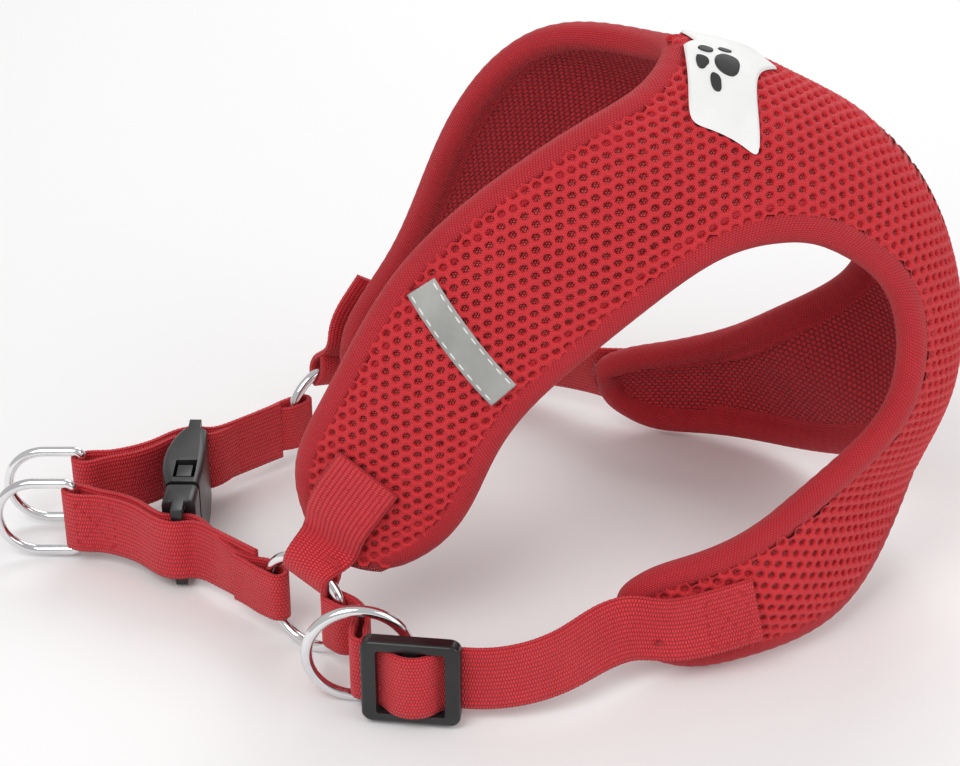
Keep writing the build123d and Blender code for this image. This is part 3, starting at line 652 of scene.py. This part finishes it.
for own in (RIGHT, LEFT):
    mine = side == own
    on_chest = (u[mine] > U_NECK) & (u[mine] < U_BELLY)
    swell = PUFF * np.sin(np.pi * np.clip(v[mine], 0, 1) * np.where(on_chest, 0.5, 1.0))
    knit[mine] = pad_surface(u[mine], v[mine], own, MESH_LIFT + swell + lift[first][mine])[0]
base = np.arange(len(centres))[:, None, None] * 36
turn_a, turn_b = np.arange(12), (np.arange(12) + 1) % 12
bands = []
for r in (0, 12):
    bands.append(np.stack([turn_a + r, turn_b + r, turn_b + r + 12, turn_a + r + 12], 1))
opened = (base + np.vstack(bands)[None]).reshape(-1, 4)
faces = back[opened]
uv = np.stack([spots.real, spots.imag], 1)[opened].reshape(-1, 2)
air_mesh = new_piece("air_mesh", knit, faces, uv, mesh_cloth, closed=False)
print("knit faces:", len(faces))


def across_the_fold(piece):
    """Bakes the piece's transform into its mesh."""
    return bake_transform(piece)


def nodes_of(*words):
    return [f"{side}_{word}" for side in SIDES for word in words]


across_the_fold(air_mesh)
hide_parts(*nodes_of("shoulder_mesh", "chest_mesh", "rib_mesh"))


# %% [markdown]
# ## The spacer layer and the lining
# Under the knit is a springy layer that shows through the holes, and against the dog a finer mesh.
# Both are the same surface moved inwards, given a thickness with a Solidify modifier.


# %% Sheets of the pad
def pad_sheet(name, lift, thickness, swell, material, inset=3.0):
    """Both halves as one sheet, moved off the pad's surface by lift, with the given thickness inwards."""
    points, faces, uvs, start = [], [], [], 0
    fine_u = np.interp(np.linspace(0.6, ROWS - 1.6, 3 * ROWS), np.arange(ROWS), stations)
    for side in (RIGHT, LEFT):
        half = solid_grid[side]
        width = np.interp(fine_u, stations, np.linalg.norm(np.diff(half, axis=1), axis=2).sum(1))
        edge = inset / width
        chest = (fine_u > U_NECK) & (fine_u < U_BELLY)
        top = np.where(chest, 1.0, 1 - edge)
        v = edge[:, None] + (top - edge)[:, None] * np.linspace(0, 1, 34)
        u = np.repeat(fine_u[:, None], 34, 1)
        out = lift + swell * np.sin(np.pi * v * np.where(chest, 0.5, 1.0)[:, None])
        grid, _ = pad_surface(u, v, side, out.ravel())
        own, _ = grid_faces(*u.shape)
        own = own if side == RIGHT else own[:, ::-1]
        row = np.interp(u, stations, np.arange(ROWS))
        cloth_place = between(flat[side], row, v * (ACROSS - 1))[0].ravel()
        points.append(grid.reshape(-1, 3))
        uvs.append(np.stack([cloth_place.real, cloth_place.imag], 1)[own].reshape(-1, 2))
        faces.append(own + start)
        start += u.size
    piece = new_piece(name, np.vstack(points), np.vstack(faces), np.vstack(uvs), material, closed=False)
    work = bmesh.new()
    work.from_mesh(piece.data)
    bmesh.ops.remove_doubles(work, verts=work.verts, dist=0.02 * MM)
    work.to_mesh(piece.data)
    work.free()
    wall = piece.modifiers.new("thickness", "SOLIDIFY")
    wall.thickness, wall.offset = thickness * MM, -1
    bpy.context.view_layer.objects.active = piece
    bpy.ops.object.modifier_apply(modifier=wall.name)
    across_the_fold(piece)
    return piece


spacer = pad_sheet("spacer_layer", -1.7, 1.6, 0.9, foam_cloth)
lining = pad_sheet("lining", -4.0, 1.3, 0.3, lining_cloth)
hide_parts(*nodes_of("shoulder_lining", "chest_lining", "rib_lining"))

# %% [markdown]
# ## The rolled edge
# One band of twill is rolled round the pad's whole edge and sewn through. Its section is a fat roll
# with a sewn groove and a thin flange beyond it. The edge's line is walked round both halves,
# smoothed so that the corners turn in curves, and the section is carried along it.


# %% Walk round the edge
def edge_run(side, way, count=160):
    """Points and normals along one edge of a half: 'leg', 'neck', 'belly', or an arm's end."""
    e = 0.006
    line = np.linspace(0, 1, count)
    runs = {"leg": (e + (1 - 2 * e) * line, 0 * line), "neck": (e + (U_NECK - e) * line, 1 + 0 * line),
            "belly": (U_BELLY + (1 - e - U_BELLY) * line, 1 + 0 * line),
            "shoulder end": (e + 0 * line, line), "rib end": (1 - e + 0 * line, line)}
    return pad_surface(*runs[way], side)


route = [(RIGHT, "leg", -1), (RIGHT, "shoulder end", 1), (RIGHT, "neck", 1), (LEFT, "neck", -1),
         (LEFT, "shoulder end", -1), (LEFT, "leg", 1), (LEFT, "rib end", 1), (LEFT, "belly", -1),
         (RIGHT, "belly", 1), (RIGHT, "rib end", -1)]
walked = [[part[::order] for part in edge_run(side, way)] for side, way, order in route]
edge_line, edge_normal = (np.vstack([w[k] for w in walked]) for k in (0, 1))
distance = arc(edge_line)
even = np.linspace(0, distance[-1], int(distance[-1] / 1.0), endpoint=False)
edge_line, edge_normal = (np.stack([np.interp(even, distance, part[:, k]) for k in range(3)], 1)
                          for part in (edge_line, edge_normal))


def smoothed(values, reach):
    """Each row replaced by the average of its neighbours round a closed line, with bell-shaped weights."""
    offsets = np.arange(-3 * reach, 3 * reach + 1)
    weights = np.exp(-((offsets / reach) ** 2) / 2)
    return sum(np.roll(values, k, axis=0) * w for k, w in zip(offsets, weights)) / weights.sum()


edge_line, edge_normal = smoothed(edge_line, 4), unit(smoothed(edge_normal, 5))
edge_way = unit(np.roll(edge_line, -1, 0) - np.roll(edge_line, 1, 0))
edge_in = unit(np.cross(edge_normal, edge_way))
leg_spot = pad_point(np.array([0.5]), np.array([0.0]), RIGHT)
middle_of_leg = np.argmin(np.linalg.norm(edge_line - leg_spot, axis=1))
toward = pad_point(np.array([0.5]), np.array([0.3]), RIGHT)[0] - edge_line[middle_of_leg]
edge_in *= np.sign(edge_in[middle_of_leg] @ toward)
edge_out = unit(np.cross(edge_in, edge_way))
edge_out *= np.sign((edge_out * edge_normal).sum(1, keepdims=True))
print("rolled edge:", round(float(distance[-1])), "mm round")

# %% Section of the roll, and the piece
SECTION = np.array([(0, -3.8), (0.4, -1.9), (1.8, -0.45), (4.0, 0.2), (6.0, -0.15), (7.4, -1.1),
                    (8.2, -1.95), (8.9, -1.35), (10.0, -1.1), (11.0, -1.6), (11.2, -3.0),
                    (11.2, -5.0), (9.6, -6.0), (8.3, -5.8), (6.4, -7.1),
                    (4.0, -7.6), (1.8, -7.1), (0.4, -5.7)])


def rounded(section, count):
    """Closed smooth line through the section's points, by Fourier series of their places."""
    waves = np.fft.fft(section[:, 0] + 1j * section[:, 1])
    n = len(section)
    turn = np.arange(count) / count
    order = np.fft.fftfreq(n, 1 / n)
    line = (waves[None] * np.exp(2j * np.pi * turn[:, None] * order)).sum(1) / n
    return np.stack([line.real, line.imag], 1)


section = rounded(SECTION, 34)
beat = np.sin(2 * np.pi * even / 4.2)
pinch = 1 + 0.02 * beat[:, None] + 0.025 * np.sin(even / 17.0)[:, None] * np.sin(even / 41.0)[:, None]
middle = np.array([5.2, -3.8])
sections = middle + (section - middle) * np.stack([np.ones_like(pinch) + 0 * pinch, pinch], -1)
rolled_edge = swept("rolled_edge", edge_line, edge_in, edge_out, sections, closed_path=True,
                    material=binding_cloth, along=even)
across_the_fold(rolled_edge)
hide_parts(*nodes_of("leg_binding", "neck_binding", "belly_binding",
                                   "shoulder_end_binding", "rib_end_binding"))


# %% [markdown]
# ## Stitches
# A stitch is a short thread that dives into the cloth at both ends. Hundreds are needed, so each is
# a small capsule of a few faces, and all the stitches of a seam are made at once as one mesh.


# %% Rows of stitches
def stitches(name, places, ways, outs, length, radius, material):
    """Capsules at places, each along its own way; the ends are lower than the middle, as sewn thread is."""
    rings, round_count = 5, 6
    t = np.linspace(-1, 1, rings)
    size = np.sqrt(np.clip(1.02 - t**2, 0.02, 1)) * radius
    angle = np.arange(round_count) / round_count * 2 * np.pi
    side_ways = unit(np.cross(ways, outs))
    centre = places[:, None] + ways[:, None] * (t * length / 2)[None, :, None]
    centre = centre - outs[:, None] * (t**2 * radius)[None, :, None]
    ring = np.cos(angle)[:, None] * side_ways[:, None, None] + np.sin(angle)[:, None] * outs[:, None, None]
    ring = ring * size[None, :, None, None]
    points = (centre[:, :, None] + ring).reshape(-1, 3)
    faces, _ = grid_faces(rings, round_count, False, True)
    count = rings * round_count
    starts = np.arange(len(places))[:, None, None] * count
    body = (faces[None] + starts).reshape(-1, 4)
    caps = np.arange(round_count)[None] + starts[:, 0]
    ends = np.vstack([caps[:, ::-1], caps + (rings - 1) * round_count])
    uv = np.zeros((len(body) * 4 + len(ends) * round_count, 2))
    uv[: len(body) * 4] = np.stack([points[body.ravel()] @ (1, 0, 0), points[body.ravel()] @ (0, 1, 1)], 1)
    return new_piece(name, points, [*body.tolist(), *ends.tolist()], uv, material, closed=False)


every = np.arange(0, len(even), 4)
seam = edge_line + edge_in * 8.2 + edge_out * -1.75
edge_stitches = stitches("edge_stitches", seam[every], edge_way[every], edge_out[every],
                         3.2, 0.32, thread_cloth)
across_the_fold(edge_stitches)

# %% [markdown]
# ## Webbing
# Webbing is flat woven strap. Each strap here is one long ribbon whose middle line goes where the
# real strap goes: along its layer, round the ring or bar, and back as a second layer. Its section
# has rounded sides, and its sides are a little scalloped where the cross thread turns back.

# %% Ribbon
WEB_WIDTH, WEB_THICK = 20.0, 1.5
STRAP_HEIGHT = 14.4
UP = np.array([0.0, 0.0, 1.0])


def ribbon(name, line, across, width, material=webbing_cloth, thick=WEB_THICK, step=0.5, scallop=0.13):
    """Strap along a smooth line: across is the way of its width, which may change along the line."""
    line = np.asarray(line, float)
    s = arc(line)
    path, even = resampled(line, step)
    across = np.broadcast_to(across, line.shape)
    share = even / even[-1] * s[-1]
    across = np.stack([np.interp(share, s, across[:, k]) for k in range(3)], 1)
    wide = np.interp(share, s, np.broadcast_to(width, len(line)))
    way = unit(np.gradient(path, axis=0))
    across = unit(across - way * (across * way).sum(1, keepdims=True))
    out = np.cross(way, across)
    half = wide / 2 + scallop * np.abs(np.sin(np.pi * even / 1.5))
    x = np.concatenate([np.linspace(-1, 1, 11), [1.0], np.linspace(1, -1, 11), [-1.0]])
    y = np.concatenate([np.full(11, 0.5), [0.0], np.full(11, -0.5), [0.0]]) * thick
    inset = np.where(y == 0, 0.0, 0.35) * min(1, thick / 1.5)
    profile = np.stack([x * (half[:, None] - inset), np.broadcast_to(y, (len(path), len(y)))], -1)
    piece = swept(name, path, across, out, profile, material=material, along=even)
    return piece, path, across, out


def mirrored(points, side):
    """Points given for the right side, on either side."""
    return np.asarray(points, float) * (1, -side, 1)


def level(points, z=STRAP_HEIGHT):
    """Plan points at one height."""
    points = np.asarray(points, float)
    return np.column_stack([points, np.full(len(points), z)])


def pad_way(start, end):
    """Direction on the right half from one (u, v) to another."""
    (u, v), (far_u, far_v) = start, end
    here = pad_point(np.array([u]), np.array([v]), RIGHT)
    return unit(pad_point(np.array([far_u]), np.array([far_v]), RIGHT) - here)[0]


def hand_in(piece, side, slot_name, *nodes):
    """The piece rides on its half and stands for its CAD solids; slot_name is not used."""
    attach(piece, f"{side}_half")
    if nodes:
        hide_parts(*[f"{side}_{node}" for node in nodes])


# %% Places of the rings and the hairpin of webbing round a wire
RING_WIRE, RING_INNER = 3.2, 25.0
RING_RADIUS = (RING_WIRE + RING_INNER) / 2
RING_AT = np.array([-49.0, -54.0])
RING_TURN = np.radians(-37.5)
RING_WAY = np.array([np.cos(RING_TURN), np.sin(RING_TURN)])
D_BAR_AT = np.array([-121.0, -9.0])
GATHERED = 15.5


def hairpin(way, near=7.6, far=16.5, half_gap=2.6):
    """Line of a strap that comes in to a ring along way, goes round its wire and leaves beside itself."""
    beside = np.array([-way[1], way[0]])
    steps = [(far + 9, 1.75), (far + 4, 2.0), (far - 1, half_gap), (near + 4, half_gap),
             (near + 1, half_gap * 0.75), (near, 0.0), (near + 1, -half_gap * 0.75),
             (near + 4, -half_gap), (far - 1, -half_gap), (far + 4, -0.7)]
    return np.array([RING_AT + way * a + beside * b for a, b in steps])


# %% Back straps
strap_rows = {}
for name, side in SIDES.items():
    ring_part = hairpin(-RING_WAY)
    line = np.vstack([ring_part, (-78, -28.2), (-84.5, -22.6), (-88, -22.4), (-92, -22.2),
                      (-99, -16.6), (-107, -11.4), (-115, -8.3), (-120.5, -6.5), (-123.6, -9),
                      (-121, -11.7), (-114.5, -12.6), (-107.5, -14.7), (-100.5, -18.9), (-93, -25.4),
                      (-88.5, -26.7), (-84, -26.2), (-77, -30.0), (-71, -34.9), (-63.5, -41.0)])
    width = np.full(len(line), WEB_WIDTH)
    width[:len(ring_part)] = GATHERED
    width[len(ring_part)] = 18.5
    points = mirrored(level(line), side)
    piece, path, across, out = ribbon(f"{name}_back_strap_webbing", points, UP, width)
    strap_rows[name, "back"] = (path, across, out)
    hand_in(piece, name, "webbing", "back_strap", "back_strap_fold")

# %% Rib straps, with the layer that comes back from the ring
SLIDER_TURN = np.radians(-7.0)
SLIDER_WAY = np.array([np.cos(SLIDER_TURN), np.sin(SLIDER_TURN)])
SLIDER_AT = np.array([-18.0, -85.0])
for name, side in SIDES.items():
    behind = np.array([-SLIDER_WAY[1], SLIDER_WAY[0]])
    back = [SLIDER_AT - SLIDER_WAY * 9 + behind * 3.1, SLIDER_AT - SLIDER_WAY * 14 + behind * 3.0,
            (-31.3, -80.0), (-31.0, -76.7), (-30.7, -73.2), (-30.6, -69.5), (-31.6, -66.6)]
    ring_part = hairpin(RING_WAY)[2:-1]
    front = [(-34.2, -66.5), (-33.9, -69.6), (-34.1, -73.1), (-34.5, -76.7), (-34.6, -79.9),
             (-33.9, -82.2), *[SLIDER_AT + SLIDER_WAY * reach for reach in (-14, -5, 5, 19)]]
    flat_part = level(np.vstack([back, ring_part, front]))
    sewn, _ = pad_surface([0.985, 0.96, 0.93, 0.90], 0.5, RIGHT, 1.4)
    bend_in = (flat_part[-1] + sewn[0]) / 2 + (2.0, -3.0, 0.4)
    rib_way = pad_way((0.93, 0.38), (0.93, 0.62))
    line = np.vstack([flat_part, bend_in, sewn])
    across = np.tile(UP, (len(line), 1))
    lean = -rib_way if rib_way[2] < 0 else rib_way
    across[-4:] = lean
    across[-5] = unit(UP + lean)
    width = np.full(len(line), WEB_WIDTH)
    width[:len(back) + len(ring_part) + 1] = 16.5
    piece, path, across, out = ribbon(
        f"{name}_rib_strap_webbing", mirrored(line, side), mirrored(across, side), width)
    strap_rows[name, "rib"] = (path, across, out)
    hand_in(piece, name, "webbing", "rib_strap", "strap_return")

# %% Shoulder tabs
TAB_ANGLE = 76.0              # degrees that a tab leaves its ring at, up from level
for name, side in SIDES.items():
    angle = np.radians(TAB_ANGLE)
    away = np.array([*RING_WAY * np.cos(angle), np.sin(angle)])
    across_ring = np.array([*RING_WAY * np.sin(angle), -np.cos(angle)])
    ring_middle = np.array([*RING_AT, RING_RADIUS + RING_WIRE / 2])
    beside = unit(np.cross(away, across_ring))
    beside *= np.sign(beside[1])
    sewn, _ = pad_surface([0.022, 0.038, 0.058, 0.082], [0.69, 0.658, 0.62, 0.575], RIGHT, 1.9)
    loop_line = [ring_middle + away * a + beside * b for a, b in
                 ((19, 1.2), (15.5, 2.5), (11.5, 2.6), (8.8, 0.0), (11.5, -2.6), (15.5, -2.6))]
    line = np.vstack([loop_line, sewn])
    sewn_way = pad_way((0.09, 0.72), (0.068, 0.44))
    share = np.array([0, 0, 0, 0, 0, 0, 0.45, 0.7, 0.9, 1.0])[:, None]
    across = across_ring * (1 - share) + sewn_way * share
    width = np.array([GATHERED] * 6 + [18.0, 19.3, WEB_WIDTH, WEB_WIDTH])
    piece, path, across, out = ribbon(
        f"{name}_shoulder_tab_webbing", mirrored(line, side), mirrored(across, side), width, thick=1.8)
    strap_rows[name, "tab"] = (path, across, out)
    hand_in(piece, name, "webbing", "shoulder_tab")


# %% [markdown]
# ## Rings
# The rings are bent from round wire and polished. A wire is a circle carried along a closed line.


# %% Wire rings
def wire(name, line, radius, material=steel):
    """Tube round a closed line in one plane: circle = radius * (cos a * normal + sin a * (way x normal))."""
    normal = unit(np.cross(line[1] - line[0], line[len(line) // 4] - line[0]))
    way = unit(np.roll(line, -1, 0) - np.roll(line, 1, 0))
    side_way = np.broadcast_to(normal, line.shape)
    angle = np.arange(20) / 20 * 2 * np.pi
    circle = radius * np.stack([np.cos(angle), np.sin(angle)], 1)
    return swept(name, line, side_way, np.cross(way, side_way), circle, closed_path=True, material=material)


def ring_from(name, side, kind, slope):
    """Ring in the place of its CAD solid, found from the solid's box: slope is the sign of its turn."""
    node = f"{name}_{kind}_ring"
    low, high = (np.array(c) / MM - (shift_x, 0, 0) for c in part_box(node))
    middle = (low + high) / 2
    half = (high - low)[:2] / 2 - RING_WIRE / 2
    way = unit(np.array([half[0], slope * side * half[1], 0]))
    turn = np.linspace(0, 2 * np.pi, 96, endpoint=False)[:, None]
    line = middle + RING_RADIUS * (np.cos(turn) * way + np.sin(turn) * UP)
    piece = wire(f"{node}_wire", line, RING_WIRE / 2)
    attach(piece, f"{node}_body")
    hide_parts(node)


for name, side in SIDES.items():
    ring_from(name, side, "round", 1)
    ring_from(name, side, "keeper", -1)

# %% Leash rings
D_WIRE, D_LENGTH = 3.0, 23.0
D_HALF = WEB_WIDTH / 2 + 0.3 + D_WIRE / 2
D_CORNER = 2.0
for name, side in SIDES.items():
    turn = np.linspace(0, np.pi, 40)
    bow = np.stack([-(D_LENGTH - D_HALF) - D_HALF * np.sin(turn), D_HALF * np.cos(turn)], 1)
    corner = np.linspace(0, np.pi / 2, 8)
    short, long = D_CORNER * (np.sin(corner) - 1), D_HALF - D_CORNER + D_CORNER * np.cos(corner)
    low_corner = np.stack([short, -long], 1)
    high_corner = np.stack([short, long], 1)[::-1]
    shank = np.linspace(-(D_LENGTH - D_HALF), -D_CORNER, 8)[1:-1]
    low_shank = np.column_stack([shank, np.full(6, -D_HALF)])
    high_shank = np.column_stack([shank[::-1], np.full(6, D_HALF)])
    bar = np.column_stack([np.zeros(10), np.linspace(-D_HALF + D_CORNER, D_HALF - D_CORNER, 12)[1:-1]])
    outline = np.vstack([bow, low_shank, low_corner, bar, high_corner, high_shank])
    bar_y = np.full(len(outline), -side * D_BAR_AT[1])
    line = np.column_stack([D_BAR_AT[0] + outline[:, 0], bar_y, STRAP_HEIGHT + outline[:, 1]])
    piece = wire(f"{name}_leash_ring_wire", line, D_WIRE / 2)
    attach(piece, f"{name}_leash_ring_body")
    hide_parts(f"{name}_leash_ring")


# %% [markdown]
# ## Moulded parts
# The buckle and the adjusters keep the CAD model's shapes. A moulding has no sharp edges, so each
# is copied, its loose triangles are joined, and a Bevel modifier rounds every edge.


# %% Softened copies of CAD solids
def softened(node, body, radius, name):
    """Copy of a CAD node with its triangles joined, flat faces merged and edges rounded."""
    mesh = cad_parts[node].data.copy()
    mesh.name = name
    work = bmesh.new()
    work.from_mesh(mesh)
    bmesh.ops.remove_doubles(work, verts=work.verts, dist=0.005 * MM)
    bmesh.ops.dissolve_limit(work, angle_limit=np.radians(1.5), verts=work.verts, edges=work.edges)
    work.to_mesh(mesh)
    work.free()
    mesh.materials.clear()
    mesh.materials.append(plastic)
    piece = bpy.data.objects.new(name, mesh)
    bpy.context.scene.collection.objects.link(piece)
    bevel = piece.modifiers.new("rounded", "BEVEL")
    bevel.width = radius * MM
    bevel.segments = 3
    bevel.limit_method = "ANGLE"
    bevel.angle_limit = np.radians(32)
    bevel.harden_normals = True
    mesh.polygons.foreach_set("use_smooth", np.ones(len(mesh.polygons), bool))
    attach(piece, body)
    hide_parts(node)


softened("buckle_housing", "left_half", 0.45, "buckle_socket")
softened("buckle_prong_base", "right_half", 0.45, "buckle_prongs")
softened("buckle_latch_upper", "latch_upper", 0.35, "buckle_upper_latch")
softened("buckle_latch_lower", "latch_lower", 0.35, "buckle_lower_latch")
for name in SIDES:
    softened(f"{name}_strap_slider", f"{name}_adjuster", 0.4, f"{name}_adjuster_frame")

# %% Webbing over the adjuster's middle bar
for name, side in SIDES.items():
    out_way = np.array([SLIDER_WAY[1], -SLIDER_WAY[0]])
    half_arch = [(1.6, 6.5), (4.0, 5.6), (6.4, 3.6), (8.2, 2.1), (9.2, 1.75)]
    arch = [(-a, b) for a, b in half_arch[::-1]] + half_arch
    line = [SLIDER_AT + SLIDER_WAY * a + out_way * b for a, b in arch]
    piece, *_ = ribbon(f"{name}_adjuster_webbing", mirrored(level(line), side), UP, WEB_WIDTH)
    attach(piece, f"{name}_adjuster")
    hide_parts(f"{name}_slider_loop")

# %% [markdown]
# ## Trims
# A band of reflective tape crosses each shoulder arm under long white stitches, and a soft white
# patch with a plain paw print sits across the chest.

# %% Reflective tape
TAPE_WIDTH = 9.0
TAPE_SEAM = 3.5               # from the middle of the tape to a row of stitches
for name, side in SIDES.items():
    t = np.linspace(0, 1, 12)
    tape_points, tape_normals = pad_surface(0.213 - 0.044 * t, 0.845 - 0.66 * t, side, 0.8)
    way = unit(np.gradient(tape_points, axis=0))
    across = unit(np.cross(tape_normals, way))
    piece, path, across, out = ribbon(f"{name}_reflective_tape", tape_points, across, TAPE_WIDTH, tape,
                                      thick=0.5, scallop=0.0)
    hand_in(piece, name, "reflective_tape", "reflective_strip")
    out *= np.sign(out[len(out) // 2] @ tape_normals[6])
    places, ways, outs = [], [], []
    for edge in (-1, 1):
        for k in range(4, len(path) - 4, 7):
            places.append(path[k] + across[k] * TAPE_SEAM * edge + out[k] * 0.3)
            ways.append(path[k + 1] - path[k - 1])
            outs.append(out[k])
    thread = stitches(f"{name}_tape_stitches", np.array(places), unit(ways), np.array(outs),
                      2.9, 0.24, white_thread)
    hand_in(thread, name, "reflective_tape")

# %% Chest patch
PRINT_DOWN = 0.4              # the print sits on the right half of the patch
PRINT_SIZE = 0.8
PATCH_FOLD = np.array([(0.432, 1.0), (0.474, 1.0)])
PATCH_END = np.array([(0.388, 0.66), (0.417, 0.26)])


def on_patch(a, b, lift):
    """Point on the patch: a runs across the chest from -1 to 1, b along the fold from -1 to 1.

    Its lift follows the pad's normal, evened out by the normal nearer the middle of the chest."""
    a, b = np.broadcast_arrays(a, b)
    share, reach = ((b + 1) / 2)[..., None], np.abs(a)[..., None]
    fold = PATCH_FOLD[0] * (1 - share) + PATCH_FOLD[1] * share
    end = PATCH_END[0] * (1 - share) + PATCH_END[1] * share
    u, v = np.moveaxis(fold * (1 - reach) + end * reach, -1, 0)
    halves = []
    for side in (RIGHT, LEFT):
        point, normal = pad_surface(u, v, side)
        _, steady = pad_surface(u * 0.5 + 0.21, 0.5 + 0.35 * v, side)
        halves.append(point + unit(normal + steady) * np.reshape(lift, (*u.shape, 1)))
    return np.where((a < 0)[..., None], *halves)


def squircle(radius_steps, turns, power):
    """Grid over a rounded square: rings from the middle out, |a|^p + |b|^p = r^p."""
    circle = np.linspace(0, 2 * np.pi, turns, endpoint=False)
    r, turn = np.meshgrid(np.linspace(0.0, 1, radius_steps), circle, indexing="ij")
    size = (np.abs(np.cos(turn)) ** power + np.abs(np.sin(turn)) ** power) ** (-1 / power)
    return r, r * size * np.cos(turn), r * size * np.sin(turn)


def raised(name, centre_a, centre_b, half_a, half_b, low, high, material, power, turns, rings):
    """Low cushion on the patch: its height falls to the bottom over the last part of its radius."""
    r, a, b = squircle(rings, turns, power)
    height = low + (high - low) * np.clip((1 - r) / 0.08, 0, 1) ** 0.5
    points = on_patch(centre_a + a * half_a, centre_b + b * half_b, height.ravel())
    faces, _ = grid_faces(rings, turns, False, True)
    return new_piece(name, points.reshape(-1, 3), faces, None, material, closed=False)


patch = raised("chest_patch", 0, 0, 1, 1, 0.95, 1.65, white_rubber, power=9.0, turns=120, rings=26)
across_the_fold(patch)
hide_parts("chest_label")
PAW = [(-0.05, 0.12, 0.2, 0.34), (-0.36, -0.16, 0.085, 0.17), (-0.16, -0.5, 0.085, 0.19),
       (0.1, -0.5, 0.085, 0.19), (0.29, -0.14, 0.085, 0.17)]
for k, (a, b, half_a, half_b) in enumerate(PAW):
    pad_print = raised(f"paw_print_{k}", a * PRINT_SIZE - PRINT_DOWN, b, half_a * PRINT_SIZE, half_b,
                       1.5, 2.0, black_rubber, power=2.3, turns=36, rings=10)
    across_the_fold(pad_print)

# %% Sewn crosses on the straps
def sewn_box(name, row, start, length, flip):
    """Stitches round a rectangle and along its diagonals, on one face of a strap."""
    path, across, out = strap_rows[name, row]
    half = 7.6 if row != "tab" else 7.2
    corners = np.array([(0, -half), (length, -half), (length, half), (0, half)])
    legs = [(corners[k], corners[(k + 1) % 4]) for k in range(4)]
    legs += [(corners[0], corners[2]), (corners[1], corners[3])]
    spots, ways = [], []
    for a, b in legs:
        steps = max(int(np.linalg.norm(b - a) / 2.6), 2)
        t = (np.arange(steps) + 0.5) / steps
        spots.append(a + (b - a) * t[:, None])
        ways.append(np.repeat(unit(b - a)[None], steps, 0))
    spots, ways = np.vstack(spots), np.vstack(ways)
    k = np.clip((start + spots[:, 0]) / 0.5, 1, len(path) - 2).astype(int)
    tangent = unit(path[k + 1] - path[k - 1])
    face = out[k] * flip
    places = path[k] + across[k] * spots[:, 1:] + face * (WEB_THICK / 2 + 0.05)
    directions = tangent * ways[:, :1] + across[k] * ways[:, 1:]
    return places, directions, face


for name, side in SIDES.items():
    boxes = []
    for row, from_end, long in (("back", 15, 11), ("back", 66, 12), ("rib", 15, 12), ("tab", 15, 12)):
        path, _, out = strap_rows[name, row]
        flip = np.sign(out[-8] @ np.array([0, side, 0.15]))
        boxes.append(sewn_box(name, row, len(path) * 0.5 - from_end, long, flip))
    places, ways, outs = (np.vstack(parts) for parts in zip(*boxes))
    thread = stitches(f"{name}_strap_stitches", places, ways, outs, 2.1, 0.2, thread_cloth)
    hand_in(thread, name, "webbing")

# %% [markdown]
# ## Camera, light and floor

# %% Camera
camera = bpy.data.objects.new("camera", bpy.data.cameras.new("camera"))
bpy.context.scene.collection.objects.link(camera)
camera.location = (shift_x * MM, -0.5515, 0.3738)
camera.rotation_euler = (np.radians(60), 0, 0)
camera.data.lens = 81.5
camera.data.sensor_width = 36
camera.data.clip_start = 0.01
bpy.context.scene.camera = camera


# %% Light and floor
def soft_light(name, place, size, power, colour=(1, 1, 1)):
    """Square area light that faces the harness."""
    lamp = bpy.data.lights.new(name, "AREA")
    lamp.size, lamp.energy, lamp.color = size, power, colour
    light = bpy.data.objects.new(name, lamp)
    light.location = place
    to_target = -unit(np.array(place) - (0, 0, 0.06))
    light.rotation_euler = Vector(to_target).to_track_quat("-Z", "Y").to_euler()
    bpy.context.scene.collection.objects.link(light)


soft_light("key", (-0.45, -0.7, 1.0), 0.7, 6.5)
soft_light("fill", (0.9, -0.5, 0.7), 0.8, 3.2)
soft_light("rim", (0.2, 0.9, 0.8), 0.7, 4.5)

world = bpy.data.worlds.new("studio")
bpy.context.scene.world = world
world.use_nodes = True
world.node_tree.nodes["Background"].inputs["Color"].default_value = (1, 1, 1, 1)
world.node_tree.nodes["Background"].inputs["Strength"].default_value = 0.55

floor_mesh = bpy.data.meshes.new("floor")
floor_mesh.from_pydata([(-3, -3, 0), (3, -3, 0), (3, 5, 0), (-3, 5, 0)], [], [(0, 1, 2, 3)])
floor = bpy.data.objects.new("floor", floor_mesh)
bpy.context.scene.collection.objects.link(floor)
paper, tree, principled, place = new_material("studio_paper", Roughness=0.9)
principled.inputs["Base Color"].default_value = (0.9, 0.9, 0.9, 1)
floor_mesh.materials.append(paper)
bpy.context.scene.view_settings.view_transform = "Standard"
